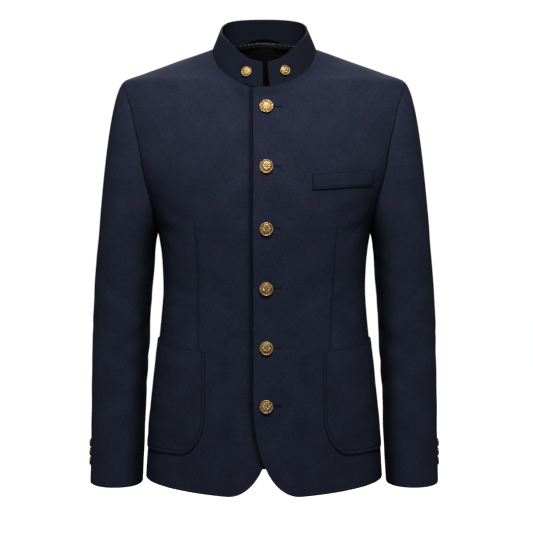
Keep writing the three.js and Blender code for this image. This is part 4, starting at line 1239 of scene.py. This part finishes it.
def make_neck_tape(name, finish, low, high, bend, stand, wall, pucker):
    """A strip inside the collar's base, behind the wearer's neck."""
    t, up = np.meshgrid(crowded(110, 130, (0.3, 0.8)), crowded(8, 6, (0.2, 0.5)))
    angle = np.radians(lerp(-150, -30, t))
    side = np.abs(2 * t - 1) ** 2.2
    share = lerp(low, high, up) + bend * side
    around = t * 150
    ripple = np.sin(around / 5.3 * 2 * np.pi / 1.6 + 2 * np.sin(around / 9))
    gathered = pucker * ripple * (0.4 + 0.6 * up)
    normals = collar_normal(angle, share)
    base = collar_surface(angle, share) - normals * (COLLAR_WALL + stand)
    base[..., 2] += 0.3 * np.sin(around / 7)
    return shell(name, base, -normals, wall, relief=gathered, materials=(finish_of(finish),))


def make_loop():
    across, up = np.meshgrid(np.linspace(-1, 1, 41), np.array([0, 0.1, 0.3, 0.7, 0.9, 1.0]))
    middle = 1 - across**2
    angle = -np.pi / 2 + np.arcsin(LOOP_HALF * across / NECK[SIDE])
    share = np.full(angle.shape, LOOP_SHARE)
    normals = collar_normal(angle, share)
    stand = COLLAR_WALL + 3 * SEAM_GAP + LOOP_LIFT * middle
    points = collar_surface(angle, share) - normals * stand[..., None]
    points[..., 2] += LOOP_ARCH * middle + LOOP_TALL * up
    # painted shade on both faces of the loop
    return shell("hanging_loop_cloth", points, normals, LOOP_THICK, materials=(finish_of("wool"),),
                 inner_fold=0.78, fold=0.6)


# Pockets


def patch_place(across, height):
    """across is 0 to 1 over the pocket and height is from its lower edge."""
    tall = PATCH_TOP - PATCH_BOTTOM
    rest = np.maximum(0, 1 - height / PATCH_TALL)
    inset = PATCH_WIDE * (1 - np.sqrt(1 - rest**2))
    distance = lerp(PATCH_FRONT + inset, PATCH_FRONT + PATCH_WIDTH - inset, across)
    share = (distance - PATCH_FRONT) / PATCH_WIDTH
    z = PATCH_BOTTOM + height + PATCH_RISE * share * (height / tall)
    return distance, z


NEAR_STITCHES = (0.3, 0.75, 1.3, 2.2, 3.2, 4, 4.6, 5, 5.4, 6, 7)


def patch_outline():
    """The sewn edge of a pocket from one top corner round to the other."""
    tall = PATCH_TOP - PATCH_BOTTOM
    height = PATCH_TALL * (1 - np.cos(np.pi / 2 * np.linspace(0, 1, 40)))
    up = np.concatenate([height, [tall]])
    down = np.stack(patch_place(0 * up, up), -1)[::-1]
    return np.concatenate([down, np.stack(patch_place(0 * up + 1, up), -1)])


def patch_relief(side, distance, z):
    away, along = line_away(distance, z, patch_outline())
    top = smooth(np.minimum(along, 1 - along), 0, 0.012)
    swell = 1.6 * smooth(away, 6, 42) + waver(distance, z, 14 if side == "left" else 15, 60, 0.3)
    high = smooth(z, PATCH_TOP - 34, PATCH_TOP + 8)
    sag = -1.1 * high * smooth(away, 8, 50)
    return (front_relief(side, distance, z) + (swell + sag) * smooth(away, 5, 14)
            + top * groove(away - PATCH_STITCHED, 1.0, 0.55)
            - lap_depth(side, distance) + PATCH_LIFT + PATCH_WALL)


def make_patch(side):
    tall = PATCH_TOP - PATCH_BOTTOM
    low = PATCH_TALL * (1 - np.cos(np.pi / 2 * np.linspace(0, 1, 48)))
    high = PATCH_TALL + (tall - PATCH_TALL) * crowded(36, 96)[5:]
    steps = crowded(50, 160, NEAR_STITCHES)
    height, across = np.meshgrid(np.concatenate([low, high]), steps, indexing="ij")
    distance, z = patch_place(across, height)
    round_ = round_at(distance, z, FRONT)
    stitched = stitched_at(distance, z, patch_outline(), PATCH_STITCHED)
    # painted shade: a little over the whole pocket and more along its stitched groove
    return torso_shell(f"patch_pocket_{side}_cloth", round_, z, PATCH_WALL, distance, side,
                       relief=patch_relief(side, distance, z), materials=(finish_of("wool"),),
                       fold=0.06 + 0.46 * stitched, seams="left right top")


def inset_line(places, inside):
    """A line drawn at a distance inside another one, which runs down, round and up again."""
    ahead = unit(np.gradient(places, axis=0))
    line = places + inside * np.stack([-ahead[:, 1], ahead[:, 0]], -1)
    done = np.concatenate([[0], np.cumsum(np.linalg.norm(np.diff(line, axis=0), axis=1))])
    even = np.arange(1.5, done[-1] - 1.5, 1.5)
    return np.interp(even, done, line[:, 0]), np.interp(even, done, line[:, 1])


def sewn_line(side, distance, z, relief, thread):
    """The path of a row of stitches over a front, and directions across it."""
    round_ = round_at(distance, z, FRONT)
    points = torso_point(round_, z) + torso_normal(round_, z) * (relief + 0.1 * thread)[..., None]
    points = points if side == "left" else mirrored(points)
    return points, np.tile((0, 0, 1), (len(points), 1))


def welt_place(t, up):
    return WELT_FRONT + WELT_WIDTH * t, WELT_BOTTOM + WELT_HEIGHT * up + WELT_RISE * t


WELT_OUTLINE = np.stack(welt_place(np.array([0, 0, 1, 1]), np.array([1, 0, 0, 1])), -1)


def stitched_at(distance, z, outline, inside):
    """1 on the stitching at a distance inside an outline, and falling to 0 beside it."""
    away, along = line_away(distance, z, outline)
    return np.exp(-(((away - inside) / 0.95) ** 2)) * smooth(np.minimum(along, 1 - along), 0, 0.01)


def welt_relief(distance, z):
    away, _ = line_away(distance, z, WELT_OUTLINE)
    return (front_relief("left", distance, z) + groove(away - WELT_STITCHED, 0.8, 0.4)
            + PATCH_LIFT + PATCH_WALL)


def make_welt():
    near = (0.3, 0.75, 1.3, 1.8, 2.4, 3, 3.6)
    up, t = np.meshgrid(crowded(12, 25, near), crowded(50, 102, near), indexing="ij")
    distance, z = welt_place(t, up)
    round_ = round_at(distance, z, FRONT)
    stitched = stitched_at(distance, z, WELT_OUTLINE, WELT_STITCHED)
    # painted shade along the welt's stitched groove
    return torso_shell("chest_welt_cloth", round_, z, PATCH_WALL, distance,
                       relief=welt_relief(distance, z), materials=(finish_of("wool"),),
                       fold=0.3 * stitched, seams="left right foot top")


# Buttons

BIG = dict(radius=10.4, shank=2.6, stand=1.7, edge=1.3, rim=2.6, dome=3.4, beads=40, petals=8)
MID = dict(radius=7.8, shank=2.2, stand=1.4, edge=1.1, rim=2.1, dome=2.8, beads=34, petals=8)
SMALL = dict(radius=7, shank=2, stand=1.3, edge=1, rim=1.9, dome=2.5, beads=28, petals=8)


def button_profile(size):
    """Reach, height and how hollow it is, from the back's centre round to the face's."""
    r, stand, edge, rim, dome = (size[key] for key in ("radius", "stand", "edge", "rim", "dome"))
    shank = size["shank"]
    rows = [(0, SEAM_GAP, 0), (0.8 * shank, SEAM_GAP, 0), (shank, SEAM_GAP + 0.3, 0),
            (shank, stand, 1), (0.9 * r, stand, 0.4)]
    for reach, height, hollow in (
            (0.96, 0.12 * edge, 0.2), (0.99, 0.35 * edge, 0), (1, 0.6 * edge, 0),
            (0.997, 0.8 * edge, 0), (0.99, 0.7 * rim, 0), (0.97, 0.92 * rim, 0), (0.945, rim, 0),
            (0.915, 0.95 * rim, 0), (0.893, 0.82 * rim, 0.5), (0.88, 0.73 * rim, 1),
            (0.84, 0.69 * rim, 1), (0.78, 0.69 * rim, 1), (0.745, 0.72 * rim, 1),
            (0.728, 0.82 * rim, 0.5), (0.71, 0.9 * rim, 0.1)):
        rows.append((reach * r, stand + height, hollow))
    for reach in (0.69, 0.66, 0.6, 0.52, 0.44, 0.36, 0.28, 0.2, 0.12, 0.05, 0):
        rows.append((reach * r, stand + dome * (1 - 0.32 * (reach / 0.7) ** 2), 0.75))
    return rows


def make_button(node, name, size, place, normal):
    """A button struck in relief, on its shank, with its face along the normal."""
    sides = 72 if size is BIG else 56
    rows = button_profile(size)
    turns = np.arange(sides) / sides * 2 * np.pi
    verts, hollow, faces, rings = [], [], [], []
    for reach, height, deep in rows:
        if reach == 0:
            rings.append([len(verts)] * sides)
            verts.append((0, 0, height))
            hollow.append(deep)
            continue
        rings.append(list(range(len(verts), len(verts) + sides)))
        verts += [(reach * math.cos(a), reach * math.sin(a), height) for a in turns]
        hollow += [deep] * sides
    for low, high in zip(rings[:-1], rings[1:]):
        for k in range(sides):
            n = (k + 1) % sides
            face = [low[k], low[n], high[n], high[k]]
            faces.append(list(dict.fromkeys(face)))
    mesh = bpy.data.meshes.new(name + "_body")
    mesh.from_pydata((np.array(verts) * MM).tolist(), [], faces)
    mesh.attributes.new("hollow", "FLOAT", "POINT").data.foreach_set(
        "value", np.array(hollow, np.float32))
    stand = size["stand"]
    piece = grown(
        name, mesh, "button", Radius=size["radius"] * MM, Beads=size["beads"],
        Petals=size["petals"], Bead_Height=(stand + 0.72 * size["rim"]) * MM,
        Petal_Height=(stand + 0.9 * size["dome"]) * MM, Material=finish_of("brass"))
    turn = Vector((0, 0, 1)).rotation_difference(Vector(normal)).to_matrix().to_4x4()
    turn.translation = Vector(np.asarray(place) * MM)
    piece.data.transform(turn)
    return finish_piece(piece, "button_brass", node)


# What a user sees: sizes and colours, one button for each group of pieces, and a panel


def colour(name, description, value):
    return bpy.props.FloatVectorProperty(
        name=name, description=description, subtype="COLOR", size=4, min=0, max=1,
        default=linear(value))


def length(name, description, value):
    return bpy.props.FloatProperty(
        name=name, description=description, default=value * MM, min=0, unit="LENGTH")


class JacketCloth(bpy.types.PropertyGroup):
    """Cloth, lining and sewing."""

    colour: colour("Cloth", "Middle colour of the wool", "#25293a")
    dark: colour("Dark fibres", "Darker fibres in the wool", "#1b1e2b")
    light: colour("Light fibres", "Paler fibres in the wool", "#32374a")
    lining: colour("Lining", "Colour of the satin", "#0b0b0c")
    tape: colour("Binding", "Colour of the tape inside the neck", "#3d3e42")
    sheen: bpy.props.FloatProperty(
        name="Nap", description="How much light the cloth's nap scatters", default=0.02, min=0,
        max=1, subtype="FACTOR")
    stitch: length("Stitch", "Length of one stitch", 2.5)
    spacing: length("Spacing", "From one stitch to the next", 3.3)
    thread: length("Thread", "Thickness of the thread", 0.5)


class JacketButtons(bpy.types.PropertyGroup):
    """Metal of the buttons."""

    gilt: colour("Gilt", "Colour of the polished metal", "#eed3a0")
    patina: colour("Hollows", "Colour of the metal where polish doesn't reach", "#8a6232")


class JacketStage(bpy.types.PropertyGroup):
    """Camera, floor and light."""

    camera_back: length("Camera distance", "From the camera to the jacket's side line", 3000)
    camera_height: bpy.props.FloatProperty(
        name="Camera height", description="Height of the camera over the neck's base",
        default=-0.12, unit="LENGTH")
    lens: bpy.props.FloatProperty(
        name="Lens", description="Focal length in millimetres", default=126.99, min=10)
    key: bpy.props.FloatProperty(
        name="Key light", description="Power of the main light in watts", default=27, min=0)
    surround: bpy.props.FloatProperty(
        name="Surround", description="Brightness of the white room", default=0.03, min=0)


def edge_stitches(name, line, seed):
    """A row of stitches beside a pressed edge."""
    cloth = bpy.context.scene.jacket_cloth
    return sewn(name, [line], Spacing=cloth.spacing, Length=cloth.stitch, Thread=cloth.thread,
                Seed=seed)


class JACKET_OT_fronts(bpy.types.Operator):
    """Make both fronts, with their darts, the lap and the cutaway below it."""

    bl_idname = "jacket.fronts"
    bl_label = "Fronts"

    def execute(self, context):
        cloth = context.scene.jacket_cloth
        holes = []
        for z in BUTTON_HEIGHTS:
            for low in (-0.9, 0.9):
                x = np.linspace(-1, 26.5, 40)
                points = front_place("left", x, np.full(40, z + low), -0.05)
                holes.append((points, np.tile((0, 0.15, 1), (40, 1))))
            bar = front_place("left", np.full(6, 26.8), np.linspace(z - 1.2, z + 1.2, 6), 0.0)
            holes.append((bar, np.tile((1, 0, 0), (6, 1))))
        sewing = sewn("buttonhole_stitches", holes, Across=True, Spacing=0.75 * MM,
                      Length=1.1 * MM, Thread=0.75 * cloth.thread, Seed=3)
        for side in ("left", "right"):
            piece = finish_piece(make_front(side), "wool_cloth", f"front_{side}")
        return {"FINISHED"}


class JACKET_OT_backs(bpy.types.Operator):
    """Make both halves of the back."""

    bl_idname = "jacket.backs"
    bl_label = "Back"

    def execute(self, context):
        for side in ("left", "right"):
            piece = finish_piece(make_back(side), "wool_cloth", f"back_{side}")
        return {"FINISHED"}


class JACKET_OT_linings(bpy.types.Operator):
    """Make the lining of the back, in two halves."""

    bl_idname = "jacket.linings"
    bl_label = "Lining"

    def execute(self, context):
        for side in ("left", "right"):
            piece = finish_piece(make_lining(side), "lining_satin", f"lining_{side}")
        return {"FINISHED"}


class JACKET_OT_sleeves(bpy.types.Operator):
    """Make the upper and under halves of both sleeves."""

    bl_idname = "jacket.sleeves"
    bl_label = "Sleeves"

    def execute(self, context):
        for side in ("left", "right"):
            for half, wide, area in (("upper", 240, 0.113), ("under", 150, 0.067)):
                node = f"sleeve_{half}_{side}"
                piece = finish_piece(make_sleeve(half, side), "wool_cloth", node)
        return {"FINISHED"}


class JACKET_OT_collar(bpy.types.Operator):
    """Make the stand collar and the loop inside it that the jacket hangs by."""

    bl_idname = "jacket.collar"
    bl_label = "Collar"

    def execute(self, context):
        loop = finish_piece(make_loop(), "wool_cloth", "hanging_loop")
        facing, tape = (
            finish_piece(make_neck_tape(*strip), "lining_satin") for strip in (
                ("neck_facing_satin", "satin", -0.13, 0.03, 0.12, 0.1, 0.5, 0.1),
                ("neck_binding_tape", "tape", 0.0, 0.045, 0.13, 0.3, 0.6, 0.35)))
        sewing = edge_stitches("collar_stitches", collar_seam(), 4)
        piece = finish_piece(make_collar(), "wool_cloth", "collar")
        return {"FINISHED"}


class JACKET_OT_pockets(bpy.types.Operator):
    """Make the two patch pockets and the breast pocket's welt, with their edge stitching."""

    bl_idname = "jacket.pockets"
    bl_label = "Pockets"

    def execute(self, context):
        thread = context.scene.jacket_cloth.thread / MM
        for side in ("left", "right"):
            piece = finish_piece(make_patch(side), "wool_cloth", f"patch_pocket_{side}")
            places = inset_line(patch_outline(), PATCH_STITCHED)
            line = sewn_line(side, *places, patch_relief(side, *places), thread)
            sewing = edge_stitches(f"patch_pocket_{side}_stitches", line, 5)
        welt = finish_piece(make_welt(), "wool_cloth", "chest_welt")
        places = inset_line(WELT_OUTLINE, WELT_STITCHED)
        line = sewn_line("left", *places, welt_relief(*places), thread)
        sewing = edge_stitches("chest_welt_stitches", line, 6)
        return {"FINISHED"}


class JACKET_OT_buttons(bpy.types.Operator):
    """Make every metal button: six in front, two on the collar and three at each cuff."""

    bl_idname = "jacket.buttons"
    bl_label = "Buttons"

    def execute(self, context):
        for k, z in enumerate(BUTTON_HEIGHTS):
            height = np.array(z)
            round_ = round_at(np.array(BUTTON_ACROSS), height, FRONT)
            make_button(f"front_button_{k + 1}", f"front_button_{k + 1}_gilt", BIG,
                        torso_point(round_, height), torso_normal(round_, height))
        for side in ("left", "right"):
            angle, share = np.array(collar_button_angle(side)), np.array(COLLAR_BUTTON_SHARE)
            make_button(f"collar_button_{side}", f"collar_button_{side}_gilt", MID,
                        collar_surface(angle, share), collar_normal(angle, share))
            for k, z in enumerate(CUFF_HEIGHTS):
                angle = np.array(math.radians(CUFF_ANGLE))
                down = np.array(1 + (SLEEVE_TOP - z) / (SLEEVE_TOP - SLEEVE_CUFF))
                flip = np.array((1 if side == "left" else -1, 1, 1))
                make_button(f"cuff_button_{side}_{k + 1}", f"cuff_button_{side}_{k + 1}_gilt",
                            SMALL, sleeve_surface(angle, down) * flip,
                            sleeve_normal(angle, down) * flip)
        return {"FINISHED"}


def area_light(name, place, aim, size, power):
    light = bpy.data.lights.new(name, "AREA")
    light.shape, light.size, light.size_y = "RECTANGLE", size[0], size[1]
    light.energy = power
    lamp = bpy.data.objects.new(name, light)
    lamp.location = place
    lamp.rotation_euler = (Vector(aim) - Vector(place)).to_track_quat("-Z", "Y").to_euler()
    bpy.context.scene.collection.objects.link(lamp)


KEY_SIZE, SOFT_SIZE = (0.9, 0.6), (0.8, 0.8)
FILL_SHARE, SIDE_SHARE = 0.26, 0.15  # of the key light's power
LOOKED_AT = (0.0037, 0, -0.343)  # the point in the middle of the photograph
COVE_SIDES = 64


class JACKET_OT_stage(bpy.types.Operator):
    """Set the camera, a white floor that curves up behind, and soft light."""

    bl_idname = "jacket.stage"
    bl_label = "Stage"

    def execute(self, context):
        scene, look = context.scene, context.scene.jacket_stage
        camera = bpy.data.objects.new("camera", bpy.data.cameras.new("camera"))
        scene.collection.objects.link(camera)
        camera.location = (0, -look.camera_back, look.camera_height)
        aim = Vector(LOOKED_AT) - camera.location
        camera.rotation_euler = aim.to_track_quat("-Z", "Y").to_euler()
        camera.data.lens, camera.data.sensor_width = look.lens, 36
        scene.camera = camera

        # a white cove all round: it shows to the camera alone, so that the lights shape the cloth
        floor_z, reach, bend, top = -0.95, 7.0, 2.5, 6.0
        profile = [(0.02, floor_z), (1.5, floor_z), (3.0, floor_z), (reach - bend, floor_z)]
        profile += [(reach - bend + bend * math.sin(a), floor_z + bend * (1 - math.cos(a)))
                    for a in np.linspace(0.15, math.pi / 2, 12)]
        profile += [(reach, top)]
        around = np.arange(COVE_SIDES) / COVE_SIDES * 2 * math.pi
        verts = [(r * math.cos(a), r * math.sin(a), z) for r, z in profile for a in around]
        faces = []
        for first in range(0, COVE_SIDES * (len(profile) - 1), COVE_SIDES):
            for n in range(COVE_SIDES):
                near, far = first + n, first + (n + 1) % COVE_SIDES
                faces.append((near, far, far + COVE_SIDES, near + COVE_SIDES))
        faces.append(tuple(range(COVE_SIDES - 1, -1, -1)))
        mesh = bpy.data.meshes.new("cove")
        mesh.from_pydata(verts, [], faces)
        mesh.flip_normals()
        mesh.materials.append(finish_of("paper"))
        mesh.shade_smooth()
        cove = bpy.data.objects.new("cove", mesh)
        cove.visible_diffuse = cove.visible_glossy = cove.visible_shadow = False
        scene.collection.objects.link(cove)

        world = bpy.data.worlds.new("white room")
        world.use_nodes = True
        shade = world.node_tree.nodes["Background"]
        shade.inputs["Color"].default_value = linear("#ffffff")
        shade.inputs["Strength"].default_value = look.surround
        scene.world = world
        middle = (0, 0, -0.35)
        chest = (0, 0, -0.15)
        area_light("key", (0.03, -1.1, 1.0), chest, KEY_SIZE, look.key)
        area_light("fill", (-0.3, -2.6, -0.3), middle, SOFT_SIZE, FILL_SHARE * look.key)
        for side in (-1, 1):
            area_light("side", (1.9 * side, 0.15, -0.1), middle, SOFT_SIZE, SIDE_SHARE * look.key)
        area_light("back key", (-0.03, 1.1, 1.0), chest, KEY_SIZE, look.key)
        scene.view_settings.view_transform = "Standard"
        return {"FINISHED"}


OPERATORS = (
    JACKET_OT_stage, JACKET_OT_fronts, JACKET_OT_backs, JACKET_OT_linings, JACKET_OT_sleeves,
    JACKET_OT_collar, JACKET_OT_pockets, JACKET_OT_buttons,
)


class JACKET_PT_pieces(bpy.types.Panel):
    """Sizes and colours of the jacket, and a button for each group of its pieces."""

    bl_idname = "JACKET_PT_pieces"
    bl_label = "Stand-collar jacket"
    bl_space_type = "VIEW_3D"
    bl_region_type = "UI"
    bl_category = "Jacket"

    def draw(self, context):
        for name in SETTINGS:
            box = self.layout.box()
            group = getattr(context.scene, name)
            for key in group.bl_rna.properties.keys():
                if key not in ("rna_type", "name"):
                    box.prop(group, key)
        for operator in OPERATORS:
            self.layout.operator(operator.bl_idname)


SETTINGS = {
    "jacket_cloth": JacketCloth, "jacket_buttons": JacketButtons, "jacket_stage": JacketStage,
}


def register():
    for kind in (*SETTINGS.values(), *OPERATORS, JACKET_PT_pieces):
        bpy.utils.register_class(kind)
    for name, kind in SETTINGS.items():
        setattr(bpy.types.Scene, name, bpy.props.PointerProperty(type=kind))


def unregister():
    for name in SETTINGS:
        delattr(bpy.types.Scene, name)
    for kind in (JACKET_PT_pieces, *reversed(OPERATORS), *SETTINGS.values()):
        bpy.utils.unregister_class(kind)


def main():
    register()
    for operator in OPERATORS:
        group, name = operator.bl_idname.split(".")
        getattr(getattr(bpy.ops, group), name)()


if __name__ == "__main__":
    main()
